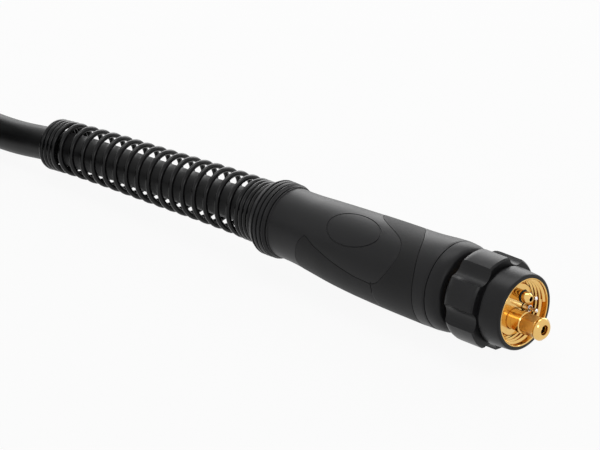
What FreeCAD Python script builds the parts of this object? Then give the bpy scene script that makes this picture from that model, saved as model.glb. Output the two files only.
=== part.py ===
import FreeCAD, Part

# Welding torch, MIG type, with a central connector: the plug that goes to the
# machine, its housing, the bend spring, the cable and the gun on its far end.
# Millimetres. +X points out of the plug's nose, +Z is up, and the origin is the
# centre of the coupling nut's front rim.

import math
import os
import re

import Sketcher
from FreeCAD import Placement, Rotation, Vector

doc = FreeCAD.newDocument("welding_torch")
sheet = doc.addObject("Spreadsheet::Sheet", "sizes")
NODES = []

SIZES = {
    # fits
    "seat": 0.1,  # between pieces that are fixed together
    "running": 0.35,  # between pieces that turn or slide on each other
    # coupling nut and its brass ring, outwards from the plug's guide
    "plug_radius": 14.5,
    "socket_gap": 2.1,  # room for the machine's socket between guide and thread
    "insert_wall": 2.1,
    "insert_chamfer": 0.9,
    "nut_rim_wall": 1.54,
    "nut_collar_wall": 2.75,
    "nut_grip_wall": 6.8,
    "nut_length": 35.0,
    "nut_grip_length": 20.5,
    "nut_neck_width": 1.6,
    "nut_neck_depth": 0.9,
    "nut_lip_thickness": 11.0,
    "nut_lobes": 6,
    "nut_lobe_angle": 7.0,
    "nut_flute_radius": 7.2,
    "nut_flute_depth": 4.0,
    # plug
    "plug_face": 6.0,
    "flange_length": 3.6,
    "journal_step": 0.65,
    "shank_radius": 11.0,
    "shank_reach": 47.0,  # into the housing
    "spigot_radius": 7.0,
    "spigot_length": 12.0,
    "ring_height": 1.85,
    "ring_width": 1.2,
    "ring_groove_depth": 0.8,
    # central tube, liner and liner nut
    "tube_y": 1.4,
    "tube_z": -6.5,
    "tube_radius": 5.5,
    "tube_bore": 3.0,
    "liner_spigot": 4.0,
    "liner_spigot_length": 6.0,
    "liner_bore": 2.4,
    "liner_wall": 0.9,
    "hex_corner": 6.3,
    "hex_length": 8.0,
    "hex_angle": 13.0,
    "nose_radius": 6.4,
    "nose_length": 4.8,
    "nose_chamfer": 1.6,
    # gas nipple
    "nipple_y": -2.2,
    "nipple_z": 10.3,
    "nipple_radius": 3.2,
    "nipple_tip": 6.2,
    "nipple_depth": 18.0,
    "nipple_bore": 1.3,
    "o_ring_wire": 0.5,
    "o_ring_place": 1.0,
    # pilot pins
    "pilot_upper_y": 6.4,
    "pilot_upper_z": 6.6,
    "pilot_lower_y": 6.8,
    "pilot_lower_z": -0.5,
    "barrel_radius": 1.9,
    "barrel_body": 2.45,
    "barrel_front": 2.0,
    "barrel_depth": 18.0,
    "barrel_wall": 0.45,
    "pilot_radius": 1.1,
    "pilot_tip": 3.0,
    "pilot_head": 1.6,
    "pilot_head_length": 1.5,
    # housing
    "split_angle": 41.0,
    "cap_gap": 4.0,
    "cap_length": 9.0,
    "housing_length": 134.0,
    "housing_wall": 2.4,
    "housing_drop": 1.15,  # how far its middle sags below the axis
    "front_radius": 24.8,
    "rear_wall": 1.3,
    "web": 3.0,
    "rib_length": 15.5,
    "rib_rise": 1.8,
    "rib_count": 4,
    "rib_pitch": 3.0,
    "rib_groove": 0.8,
    "rib_depth": 0.8,
    "soft_depth": 0.9,
    "soft_proud": 0.2,
    "thumb_place": 60.5,
    "thumb_aside": 1.7,
    "thumb_length": 37.0,
    "thumb_width": 20.4,
    "thumb_groove": 0.9,
    "thumb_groove_depth": 0.5,
    # cable, ferrule, collar and spring
    "cable_radius": 9.8,
    "ferrule_wall": 2.2,
    "ferrule_length": 27.0,
    "collar_wall": 4.1,
    "collar_depth": 10.0,
    "collar_reach": 10.0,
    "collar_clearance": 1.25,
    "spring_wire": 2.75,
    "spring_clearance": 2.8,  # between the spring's far end and the cable
    "spring_depth": 6.0,
    "spring_tight_pitch": 3.2,
    "spring_open_pitch": 9.28,
    "spring_angle": 0.0,
    "spring_lift": 1.1,  # the cable lies low in it
    # coil of spare cable, and what everything lies on
    "floor": -25.5,
    "coil_x": -490.0,
    "coil_y": -106.0,
    "coil_radius": 78.5,
    "coil_gap": 0.45,
    # gun
    "gun_x": -520.0,
    "gun_y": -172.5,
    "gun_lift": 1.2,  # clear of the coil that it lies on
    "boot_length": 40.0,
    "boot_wall": 2.2,
    "boot_flare": 3.0,
    "ball_wall": 3.7,
    "knuckle_length": 15.0,
    "handle_length": 125.0,
    "handle_half_width": 19.0,
    "handle_half_height": 17.15,
    "trigger_place": 19.0,
    "trigger_aside": 11.0,
    "trigger_length": 40.0,
    "trigger_width": 10.0,
    "trigger_pin_radius": 1.5,
    "trigger_pin_length": 21.0,
    "switch_length": 20.0,
    "switch_width": 10.0,
    "switch_height": 10.0,
    "neck_radius": 5.0,
    "neck_bore": 3.2,
    "sleeve_wall": 3.0,
    "neck_bend": 50.0,
    "neck_angle": 45.0,
    "neck_run": 20.0,
    "neck_socket": 18.0,
    "neck_end": 14.0,
    "nozzle_radius": 10.5,
    "nozzle_mouth": 8.0,
    "nozzle_wall": 1.5,
    "nozzle_length": 54.0,
    "holder_radius": 5.6,
    "holder_flange": 1.2,
    "holder_length": 20.0,
    "tip_radius": 4.0,
    "tip_length": 20.0,
    "tip_bore": 0.6,
}
for row, (alias, number) in enumerate(SIZES.items(), 1):
    sheet.set(f"A{row}", alias)
    sheet.set(f"B{row}", str(number))
    sheet.setAlias(f"B{row}", alias)
doc.recompute()


def bound(expression):
    """An expression in the sheet's aliases, written out for setExpression."""
    word = re.compile(r"[A-Za-z_][A-Za-z_0-9]*")
    return word.sub(lambda w: ("sizes." if w[0] in SIZES else "") + w[0], str(expression))


def size(expression):
    """The number that an expression in the sheet's aliases comes to."""
    number = sheet.evalExpression(bound(expression))
    return float(getattr(number, "Value", number))


def node(thing, label):
    """Names a finished sub-part and puts it on the list that is written out."""
    thing.Label = label
    NODES.append(thing)
    return thing


def place(thing, x=0, y=0, z=0, turn=None):
    """Puts a thing at a point whose coordinates stay bound to the sheet."""
    thing.Placement = Placement(Vector(size(x), size(y), size(z)), turn or Rotation())
    for axis, expression in zip("xyz", (x, y, z)):
        if str(expression) != "0":
            thing.setExpression(f"Placement.Base.{axis}", bound(expression))
    return thing


def outline(sketch, corners):
    """A closed outline whose corners are all dimensioned from the sketch's origin."""
    points = [(size(x), size(y)) for x, y in corners]
    count = len(points)
    for i, a in enumerate(points):
        b = points[(i + 1) % count]
        sketch.addGeometry(Part.LineSegment(Vector(*a, 0), Vector(*b, 0)), False)
    rules = [Sketcher.Constraint("Coincident", i, 2, (i + 1) % count, 1) for i in range(count)]
    for i, (x, y) in enumerate(points):
        rules.append(Sketcher.Constraint("DistanceX", -1, 1, i, 1, x))
        rules.append(Sketcher.Constraint("DistanceY", -1, 1, i, 1, y))
    sketch.addConstraint(rules)
    for i, (x, y) in enumerate(corners):
        sketch.setExpression(f"Constraints[{count + 2 * i}]", bound(x))
        sketch.setExpression(f"Constraints[{count + 2 * i + 1}]", bound(y))


def sketch_on(body, name, role="XY_Plane"):
    """A sketch on one of the body's own origin planes."""
    sketch = body.newObject("Sketcher::SketchObject", name)
    plane = [f for f in body.Origin.OriginFeatures if f.Role == role][0]
    sketch.AttachmentSupport = [(plane, "")]
    sketch.MapMode = "FlatFace"
    return sketch


def turned(name, corners, angle=360):
    """A body turned about X from its half section, given as (x, radius) corners."""
    body = doc.addObject("PartDesign::Body", name)
    section = sketch_on(body, name + "_section")
    outline(section, corners)
    turn = body.newObject("PartDesign::Revolution", name + "_turn")
    turn.Profile = section
    turn.ReferenceAxis = (section, ["H_Axis"])
    turn.Angle = angle
    return body


def padded(name, corners, height, middle=True):
    """A body padded up from an outline in the XY plane."""
    body = doc.addObject("PartDesign::Body", name)
    section = sketch_on(body, name + "_outline")
    outline(section, corners)
    pad = body.newObject("PartDesign::Pad", name + "_pad")
    pad.Profile = section
    pad.Length = size(height)
    pad.setExpression("Length", bound(height))
    pad.Midplane = middle
    return body


def rod(name, start, end, radius, y=0, z=0):
    """A straight cylinder along X from start to end."""
    thing = doc.addObject("Part::Cylinder", name)
    thing.setExpression("Radius", bound(radius))
    thing.setExpression("Height", bound(f"({end}) - ({start})"))
    return place(thing, start, y, z, Rotation(Vector(0, 1, 0), 90))


def block(name, x, y, z, long, wide, tall):
    """A box from its low corner, with bound sides."""
    thing = doc.addObject("Part::Box", name)
    for side, expression in zip(("Length", "Width", "Height"), (long, wide, tall)):
        thing.setExpression(side, bound(expression))
    return place(thing, x, y, z)


def cut(name, base, *tools):
    """What is left of base when the tools are taken away."""
    tool = tools[0]
    if len(tools) > 1:
        tool = doc.addObject("Part::MultiFuse", name + "_tools")
        tool.Shapes = list(tools)
    thing = doc.addObject("Part::Cut", name)
    thing.Base = base
    thing.Tool = tool
    return thing


def fused(name, *pieces):
    thing = doc.addObject("Part::MultiFuse", name)
    thing.Shapes = list(pieces)
    return thing


def common(name, *pieces):
    thing = doc.addObject("Part::MultiCommon", name)
    thing.Shapes = list(pieces)
    return thing


# ------------------------------------------------- radii and places that follow
# Places along the housing are distances behind the nut's front rim.
INSERT_BORE = "(plug_radius + socket_gap)"
INSERT = f"({INSERT_BORE} + insert_wall)"
RIM = f"({INSERT} + nut_rim_wall)"
COLLAR = f"({INSERT} + nut_collar_wall)"
GRIP = f"({INSERT} + nut_grip_wall)"
JOURNAL = "(plug_radius + journal_step)"
LIP = "(nut_length - nut_lip_thickness)"
GROOVE = "(nut_length + running)"
JOURNAL_END = "(nut_length + running + ring_width + 1.45)"
CAP = "(nut_length + cap_gap)"
FRONT = f"({CAP} + cap_length)"
REAR = f"({FRONT} + housing_length)"
SHANK_END = f"({FRONT} + shank_reach)"
INNER_END = f"({SHANK_END} + spigot_length + 3)"
FERRULE = f"({SHANK_END} + 2)"
FERRULE_END = f"({FERRULE} + ferrule_length)"
FERRULE_RADIUS = "(cable_radius + ferrule_wall)"
COLLAR_START = f"({REAR} - collar_depth)"
COLLAR_END = f"({REAR} + collar_reach)"
COLLAR_RADIUS = "(cable_radius + collar_wall)"
SPRING_RADIUS = f"({COLLAR_RADIUS} + collar_clearance + spring_wire)"
SPRING_END_RADIUS = "(cable_radius + spring_clearance + spring_wire)"
REAR_OPENING = f"({SPRING_RADIUS} + 0.4)"
REAR_RADIUS = f"({REAR_OPENING} + rear_wall)"
EXIT = f"({REAR} - 2)"
GUN_Z = "(floor + 4 * cable_radius + coil_gap + handle_half_height + gun_lift)"

# ---------------------------------------------------------------- coupling nut
# A plastic hand nut with six lobes behind a plain collar. Its flutes are cut
# along the axis and run out at the grip's back edge, which is rounded over.
nut = turned(
    "nut_blank",
    [
        ("-nut_length", f"{JOURNAL} + running"),
        ("-nut_length", f"{GRIP} - 2.6"),
        ("-nut_length + 0.5", f"{GRIP} - 1.5"),
        ("-nut_length + 1.5", f"{GRIP} - 0.6"),
        ("-nut_length + 3.0", f"{GRIP} - 0.1"),
        ("-nut_length + 4.5", GRIP),
        ("-nut_length + nut_grip_length - 1.2", f"{GRIP} - 0.1"),
        ("-nut_length + nut_grip_length", f"{GRIP} - 1.1"),
        ("-nut_length + nut_grip_length", f"{COLLAR} - nut_neck_depth"),
        ("-nut_length + nut_grip_length + nut_neck_width", f"{COLLAR} - nut_neck_depth"),
        ("-nut_length + nut_grip_length + nut_neck_width + 0.4", COLLAR),
        ("-0.8", f"{RIM} + 0.05"),
        ("-0.2", f"{RIM} - 0.25"),
        ("0", f"{RIM} - 0.8"),
        ("0", f"{INSERT} + seat"),
        (f"-{LIP}", f"{INSERT} + seat"),
        (f"-{LIP}", f"{JOURNAL} + running"),
    ],
)
FLUTE_AT = f"({GRIP} - nut_flute_depth + nut_flute_radius)"
FLUTE_TURN = "(nut_lobe_angle + 180 / nut_lobes)"
FLUTE_CENTRE = (f"-{FLUTE_AT} * sin({FLUTE_TURN})", f"{FLUTE_AT} * cos({FLUTE_TURN})")
flutes = sketch_on(nut, "nut_flute", "YZ_Plane")
flute_y, flute_z = (size(expression) for expression in FLUTE_CENTRE)
middle = Vector(flute_y, flute_z, 0)
flutes.addGeometry(Part.Circle(middle, Vector(0, 0, 1), size("nut_flute_radius")), False)
flutes.addConstraint(
    [
        Sketcher.Constraint("Radius", 0, size("nut_flute_radius")),
        Sketcher.Constraint("DistanceX", -1, 1, 0, 3, flute_y),
        Sketcher.Constraint("DistanceY", -1, 1, 0, 3, flute_z),
    ]
)
for i, expression in enumerate(("nut_flute_radius", *FLUTE_CENTRE)):
    flutes.setExpression(f"Constraints[{i}]", bound(expression))
doc.recompute()
blank_volume = nut.Shape.Volume
flute = nut.newObject("PartDesign::Pocket", "nut_flute_cut")
flute.Profile = flutes
flute.setExpression("Length", bound("nut_length"))
doc.recompute()
if nut.Shape.Volume > blank_volume - 1:
    raise ValueError("the flute's pocket cut nothing")
lobes = nut.newObject("PartDesign::PolarPattern", "nut_lobes")
lobes.Originals = [flute]
lobes.Axis = (flutes, ["N_Axis"])
lobes.Angle = 360
lobes.Occurrences = int(size("nut_lobes"))
nut.Tip = lobes
doc.recompute()
node(nut, "coupling_nut")

insert = turned(
    "insert_blank",
    [
        (f"-{LIP}", INSERT_BORE),
        (f"-{LIP}", INSERT),
        ("0", INSERT),
        ("0", f"{INSERT_BORE} + insert_chamfer"),
        ("-insert_chamfer", INSERT_BORE),
    ],
)
node(insert, "thread_insert")

# ------------------------------------------------------------------------ plug
# One brass turning: guide, flange for the nut, journal with the ring's groove,
# long shank and a spigot for the cable's conductor.
FACE = "-plug_face"
FLANGE_BACK = f"(-{LIP} + running + seat / 2)"
FLANGE_FRONT = f"({FLANGE_BACK} + flange_length)"
FLANGE_RADIUS = f"({INSERT_BORE} - running - seat)"
BED = f"({JOURNAL} - ring_groove_depth)"
plug = turned(
    "plug_blank",
    [
        (FACE, "0"),
        (FACE, "plug_radius - 0.6"),
        (f"{FACE} - 0.6", "plug_radius"),
        (FLANGE_FRONT, "plug_radius"),
        (FLANGE_FRONT, FLANGE_RADIUS),
        (FLANGE_BACK, FLANGE_RADIUS),
        (FLANGE_BACK, JOURNAL),
        (f"-{GROOVE}", JOURNAL),
        (f"-{GROOVE}", BED),
        (f"-{GROOVE} - ring_width - seat", BED),
        (f"-{GROOVE} - ring_width - seat", JOURNAL),
        (f"-{JOURNAL_END}", JOURNAL),
        (f"-{JOURNAL_END}", "shank_radius"),
        (f"-{SHANK_END}", "shank_radius"),
        (f"-{SHANK_END}", "spigot_radius"),
        (f"-{SHANK_END} - spigot_length", "spigot_radius"),
        (f"-{SHANK_END} - spigot_length", "0"),
    ],
)
TUBE_END = "(-nut_length - 1)"
plug_holes = [
    rod("tube_hole", TUBE_END, "0", "tube_radius + seat / 2", "tube_y", "tube_z"),
    rod("nipple_hole", f"{FACE} - nipple_depth", "0", "nipple_radius + seat / 2", "nipple_y", "nipple_z"),
]
for which in ("upper", "lower"):
    where = (f"pilot_{which}_y", f"pilot_{which}_z")
    plug_holes.append(
        rod(f"barrel_hole_{which}", f"{FACE} - barrel_depth", "0", "barrel_body + seat / 2", *where)
    )
node(cut("plug_drilled", plug, *plug_holes), "plug_body")

ring = turned(
    "ring_blank",
    [
        (f"-{GROOVE} - seat / 2", f"{BED} + seat / 2"),
        (f"-{GROOVE} - seat / 2", f"{JOURNAL} + ring_height"),
        (f"-{GROOVE} - seat / 2 - ring_width", f"{JOURNAL} + ring_height"),
        (f"-{GROOVE} - seat / 2 - ring_width", f"{BED} + seat / 2"),
    ],
)
ring_gap = block("ring_gap", f"-{GROOVE} - 3", "-3.5", "0", "5", "7", "plug_radius + 6")
node(cut("ring_open", ring, ring_gap), "nut_retaining_ring")

# The central tube carries the wire. The liner's hexagon nut screws into its
# mouth and ends in a round chamfered nose.
tube = turned(
    "tube_blank",
    [
        (f"{TUBE_END} + seat", "tube_bore"),
        (f"{TUBE_END} + seat", "tube_radius"),
        ("-0.5", "tube_radius"),
        ("0", "tube_radius - 0.5"),
        ("0", "liner_spigot + seat / 2"),
        ("-liner_spigot_length - seat", "liner_spigot + seat / 2"),
        ("-liner_spigot_length - seat", "tube_bore"),
    ],
)
node(place(tube, 0, "tube_y", "tube_z"), "central_tube")

hexagon = doc.addObject("Part::Prism", "hexagon")
hexagon.Polygon = 6
hexagon.setExpression("Circumradius", bound("hex_corner"))
hexagon.setExpression("Height", bound("hex_length"))
place(
    hexagon,
    "0",
    "tube_y",
    "tube_z",
    Rotation(Vector(1, 0, 0), size("hex_angle") + 180) * Rotation(Vector(0, 1, 0), 90),
)
nose = turned(
    "nose_blank",
    [
        ("-liner_spigot_length", "liner_bore"),
        ("-liner_spigot_length", "liner_spigot"),
        ("hex_length - seat", "liner_spigot"),
        ("hex_length - seat", "nose_radius - 0.3"),
        ("hex_length + 0.3", "nose_radius"),
        ("hex_length + nose_length - nose_chamfer", "nose_radius"),
        ("hex_length + nose_length - nose_chamfer * 0.35", "nose_radius - nose_chamfer * 0.4"),
        ("hex_length + nose_length", "nose_radius - nose_chamfer * 1.1"),
        ("hex_length + nose_length", "liner_bore + 0.5"),
        ("hex_length + nose_length - 0.5", "liner_bore"),
    ],
)
place(nose, 0, "tube_y", "tube_z")
hex_bore = rod("hex_bore", "-1", "hex_length + 1", "liner_spigot - 0.5", "tube_y", "tube_z")
node(fused("liner_nut_made", cut("hexagon_bored", hexagon, hex_bore), nose), "liner_nut")

LINER = "(tube_bore - seat)"
liner = turned(
    "liner_blank",
    [
        (f"{TUBE_END} + 1", f"{LINER} - liner_wall"),
        (f"{TUBE_END} + 1", LINER),
        ("-liner_spigot_length - 3 * seat", LINER),
        ("-liner_spigot_length - 3 * seat", f"{LINER} - liner_wall"),
    ],
)
node(place(liner, 0, "tube_y", "tube_z"), "wire_liner")

# ------------------------------------------------------- gas nipple and O-ring
RING_BED = "(nipple_radius - 2 * o_ring_wire + 0.15)"
nipple = turned(
    "nipple_blank",
    [
        ("-plug_face - nipple_depth + seat", "nipple_bore"),
        ("-plug_face - nipple_depth + seat", "nipple_radius"),
        ("o_ring_place - 0.65", "nipple_radius"),
        ("o_ring_place - 0.65", RING_BED),
        ("o_ring_place + 0.65", RING_BED),
        ("o_ring_place + 0.65", "nipple_radius - 0.3"),
        ("nipple_tip - 1.7", "nipple_radius - 0.3"),
        ("nipple_tip - 0.3", "nipple_radius - 1.1"),
        ("nipple_tip", "nipple_radius - 1.4"),
        ("nipple_tip", "nipple_bore"),
    ],
)
node(place(nipple, 0, "nipple_y", "nipple_z"), "gas_nipple")
BEAD = f"({RING_BED} + o_ring_wire + 0.04)"
CORNERS = [math.radians(45 * i) for i in range(8)]
o_ring = turned(
    "o_ring",
    [
        (f"o_ring_place + o_ring_wire * {math.cos(a):.4f}", f"{BEAD} + o_ring_wire * {math.sin(a):.4f}")
        for a in CORNERS
    ],
)
place(o_ring, 0, "nipple_y", "nipple_z")
node(o_ring, "nipple_o_ring")

# ------------------------------------------------------------------ pilot pins
# Each plunger slides in a barrel pressed into the plug. A head behind the
# barrel's narrow mouth keeps it in.
CHAMBER = "(barrel_body - barrel_wall)"
for which in ("upper", "lower"):
    where = (0, f"pilot_{which}_y", f"pilot_{which}_z")
    barrel = turned(
        f"barrel_{which}",
        [
            ("-plug_face - barrel_depth + seat", "0"),
            ("-plug_face - barrel_depth + seat", "barrel_body"),
            ("-plug_face - 0.4", "barrel_body"),
            ("-plug_face - 0.4", "barrel_radius"),
            ("-barrel_front - 0.2", "barrel_radius"),
            ("-barrel_front", "barrel_radius - 0.2"),
            ("-barrel_front", "pilot_radius + 0.3"),
            ("-plug_face - 2", "pilot_radius + 0.3"),
            ("-plug_face - 2", CHAMBER),
            ("-plug_face - barrel_depth + 1.5", CHAMBER),
            ("-plug_face - barrel_depth + 1.5", "0"),
        ],
    )
    node(place(barrel, *where), f"pilot_barrel_{which}")
    pin = turned(
        f"pin_{which}",
        [
            ("-plug_face - 2.4 - pilot_head_length", "0"),
            ("-plug_face - 2.4 - pilot_head_length", "pilot_head"),
            ("-plug_face - 2.4", "pilot_head"),
            ("-plug_face - 2.4", "pilot_radius"),
            ("pilot_tip - pilot_radius", "pilot_radius"),
            ("pilot_tip - pilot_radius * 0.6", "pilot_radius * 0.92"),
            ("pilot_tip - pilot_radius * 0.29", "pilot_radius * 0.71"),
            ("pilot_tip - pilot_radius * 0.08", "pilot_radius * 0.38"),
            ("pilot_tip", "0"),
        ],
    )
    node(place(pin, *where), f"pilot_pin_{which}")

# --------------------------------------------------------------------- housing
cap = turned(
    "cap_blank",
    [
        (f"-{CAP}", "shank_radius + seat"),
        (f"-{CAP}", "front_radius - 3.7"),
        (f"-{CAP} - 0.4", "front_radius - 2.5"),
        (f"-{CAP} - 1.4", "front_radius - 1.6"),
        (f"-{CAP} - 3.0", "front_radius - 0.9"),
        (f"-{CAP} - cap_length + 3", "front_radius - 0.3"),
        (f"-{CAP} - cap_length + seat", "front_radius - 0.1"),
        (f"-{CAP} - cap_length + seat", "shank_radius + seat"),
    ],
)
node(cap, "housing_front_ring")

# The outer form, as rings along it: each one's place as a share of the
# length, its radius, and its share of the drop below the axis.
FORM = [
    (0.0, "front_radius", 0.0),
    (0.067, "front_radius - 0.2", 0.35),
    (0.135, "front_radius - 0.7", 0.74),
    (0.224, "front_radius - 0.95", 0.91),
    (0.343, "front_radius - 1.3", 0.96),
    (0.463, "front_radius - 1.85", 1.0),
    (0.582, "front_radius - 2.7", 0.83),
    (0.702, f"{REAR_RADIUS} + 1.25", 0.39),
    (0.79, f"{REAR_RADIUS} + 0.3", 0.15),
]
FACING = Rotation(Vector(0, 1, 0), Vector(0, 0, 1), Vector(1, 0, 0), "ZXY")
DOWN = "(split_angle + 90)"


def form(name, proud):
    """The housing's outer form between its front and its ribs, stood off by proud."""
    rings = []
    places = [(f"{FRONT} + housing_length * {share}", radius, drop) for share, radius, drop in FORM]
    places.append((f"{REAR} - rib_length", REAR_RADIUS, 0.0))
    for i, (behind, radius, drop) in enumerate(places):
        circle = doc.addObject("Part::Circle", f"{name}_{i}")
        circle.setExpression("Radius", bound(f"{radius} + ({proud})"))
        drop = f"housing_drop * {drop}"
        place(circle, f"-({behind})", f"-{drop} * sin({DOWN})", f"{drop} * cos({DOWN})", FACING)
        rings.append(circle)
    shape = doc.addObject("Part::Loft", name)
    shape.Sections = rings
    shape.Solid = True
    return shape


# Behind the form come the finger ribs, turned with their grooves.
ribs = [(f"-{REAR} + rib_length", "0"), (f"-{REAR} + rib_length", REAR_RADIUS)]
for i in range(int(size("rib_count"))):
    behind = f"(-{REAR} + rib_length - {i + 0.6} * rib_pitch)"
    rise = math.sin(math.pi / 2 * min(1, (i + 0.5) / 2))
    radius = f"{REAR_RADIUS} + rib_rise * {rise:.3f}"
    ribs += [
        (f"{behind} + rib_groove / 2", radius),
        (f"{behind} + rib_groove / 2", f"{radius} - rib_depth"),
        (f"{behind} - rib_groove / 2", f"{radius} - rib_depth"),
        (f"{behind} - rib_groove / 2", radius),
    ]
ribs += [
    (f"-{REAR} + 3.2", f"{REAR_RADIUS} + 1.5"),
    (f"-{REAR} + 1.2", f"{REAR_RADIUS} + 0.5"),
    (f"-{REAR}", f"{REAR_RADIUS} - 0.4"),
    (f"-{REAR}", "0"),
]
rear = turned("rear_ribs", ribs)

# Inside are the webs that hold the shank, the ferrule and the spring's collar.
cavity = turned(
    "cavity_form",
    [
        (f"-{FRONT} + 1", "0"),
        (f"-{FRONT} + 1", "shank_radius + seat"),
        (f"-{FRONT} - 4", "shank_radius + seat"),
        (f"-{FRONT} - 4", "front_radius - 0.6 - housing_wall"),
        (f"-{SHANK_END} + 5 + web", "front_radius - 1.2 - housing_drop - housing_wall"),
        (f"-{SHANK_END} + 5 + web", "shank_radius + seat"),
        (f"-{SHANK_END} + 5", "shank_radius + seat"),
        (f"-{SHANK_END} + 5", "front_radius - 1.3 - housing_drop - housing_wall"),
        (f"-{FERRULE_END} + 2 + web", "front_radius - 2.3 - housing_drop - housing_wall"),
        (f"-{FERRULE_END} + 2 + web", f"{FERRULE_RADIUS} + seat"),
        (f"-{FERRULE_END} + 2", f"{FERRULE_RADIUS} + seat"),
        (f"-{FERRULE_END} + 2", "front_radius - 2.5 - housing_drop - housing_wall"),
        (f"-{REAR} + rib_length + 16", f"{REAR_RADIUS} - housing_wall"),
        (f"-{COLLAR_START} + 4", f"{REAR_RADIUS} - housing_wall"),
        (f"-{COLLAR_START} + 4", f"{COLLAR_RADIUS} + running"),
        (f"-{COLLAR_START}", f"{COLLAR_RADIUS} + running"),
        (f"-{COLLAR_START}", REAR_OPENING),
        (f"-{REAR} - 1", REAR_OPENING),
        (f"-{REAR} - 1", "0"),
    ],
)
whole = cut("housing_whole", fused("housing_outside", form("hard_form", "0"), rear), cavity)
doc.recompute()

# Soft grips are moulded into pockets of each half: a band round the front and
# a panel along the underside, with a bare leaf-shaped field between them. The
# outlines are seen square to a half, as shares of the housing's length and of
# its front radius.
BAND_FRONT = [(0.067, 1.06), (0.065, 0.8), (0.067, 0.565), (0.09, 0.069), (0.135, -0.44)]
BAND_FRONT += [(0.201, -0.766), (0.284, -0.907), (0.336, -1.06)]
LEAF_FRONT = [(0.487, -1.06), (0.475, -0.9), (0.432, -0.786), (0.388, -0.621), (0.314, -0.456)]
LEAF_FRONT += [(0.238, -0.294), (0.194, -0.1), (0.179, 0.149), (0.206, 0.536)]
LEAF_FRONT += [(0.238, 0.726), (0.286, 0.823)]
LEAF_REAR = [(0.291, 0.824), (0.388, 0.798), (0.5, 0.71), (0.597, 0.577), (0.646, 0.49)]
PANEL_END = [(0.646, 0.49), (0.678, 0.42), (0.699, 0.5), (0.724, 0.72), (0.739, 1.06)]
SEAM = [(0.28, 1.06), (0.286, 0.823)]


def seen(point, hand):
    """A share of length and of front radius as a place in a half's own plane."""
    behind, aside = point
    x = -size(f"{FRONT} + housing_length * {behind}")
    return Vector(x, -hand * aside * size("front_radius"), 0)


def edge(points, hand):
    """A smooth edge through a few points of an outline."""
    places = [seen(point, hand) for point in points]
    if len(places) == 2:
        return Part.LineSegment(*places).toShape()
    curve = Part.BSplineCurve()
    curve.interpolate(places)
    return curve.toShape()


def trim(name, curves, hand, turn):
    """A prism over one half, inside a closed row of curves."""
    face = Part.Face(Part.Wire([edge(points, hand) for points in curves]))
    thing = doc.addObject("Part::Feature", name)
    thing.Shape = face.extrude(Vector(0, 0, size("front_radius + 5")))
    thing.Placement = Placement(Vector(), turn)
    return thing


def oval(name, grow, turn, hand):
    """A prism over one half with the thumb field's oval outline."""
    ring = doc.addObject("Part::Ellipse", name + "_outline")
    ring.setExpression("MajorRadius", bound(f"thumb_length / 2 + ({grow})"))
    ring.setExpression("MinorRadius", bound(f"thumb_width / 2 + ({grow})"))
    prism = doc.addObject("Part::Extrusion", name)
    prism.Base = ring
    prism.DirMode = "Custom"
    prism.Dir = Vector(0, 0, 1)
    prism.setExpression("LengthFwd", bound("front_radius + 5"))
    prism.Solid = True
    aside = turn.multVec(Vector(0, hand * size("thumb_aside"), 0))
    prism.Placement = Placement(Vector(-size(f"{FRONT} + thumb_place"), aside.y, aside.z), turn)
    return prism


HALF = Rotation(Vector(1, 0, 0), size("split_angle"))
OTHER_HALF = Rotation(Vector(1, 0, 0), size("split_angle") + 180)
SOFT_EDGES = {
    "band": [BAND_FRONT, [BAND_FRONT[-1], LEAF_FRONT[0]], LEAF_FRONT, SEAM[::-1], [SEAM[0], BAND_FRONT[0]]],
    "panel": [SEAM, [SEAM[1], LEAF_REAR[0]], LEAF_REAR, PANEL_END, [PANEL_END[-1], SEAM[0]]],
}
soft_skin = cut("soft_skin", form("soft_outside", "soft_proud"), form("soft_inside", "-soft_depth"))
groove_skin = cut("groove_skin", form("groove_outside", "1"), form("groove_inside", "-thumb_groove_depth"))
for side, turn, hand in (("near", HALF, 1), ("far", OTHER_HALF, -1)):
    room = doc.addObject("Part::Box", f"room_{side}")
    room.setExpression("Length", bound("housing_length + 20"))
    room.setExpression("Width", bound("front_radius * 4"))
    room.setExpression("Height", bound("front_radius * 2"))
    corner = turn.multVec(Vector(0, -2 * size("front_radius"), 0))
    room.Placement = Placement(Vector(-size(f"{REAR} + 10"), corner.y, corner.z), turn)
    soft = []
    for name, curves in SOFT_EDGES.items():
        prism = trim(f"{name}_trim_{side}", curves, hand, turn)
        grip = common(f"{name}_made_{side}", soft_skin, prism)
        soft.append(node(grip, f"soft_{name}_{side}"))
    outer = oval(f"thumb_out_{side}", "0", turn, hand)
    inner = oval(f"thumb_in_{side}", "-thumb_groove", turn, hand)
    rim = cut(f"thumb_rim_{side}", outer, inner)
    groove = common(f"thumb_cut_{side}", rim, groove_skin)
    pocketed = cut(f"pocketed_{side}", whole, *soft, groove)
    node(common(f"shell_{side}", pocketed, room), f"housing_shell_{side}")

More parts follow.
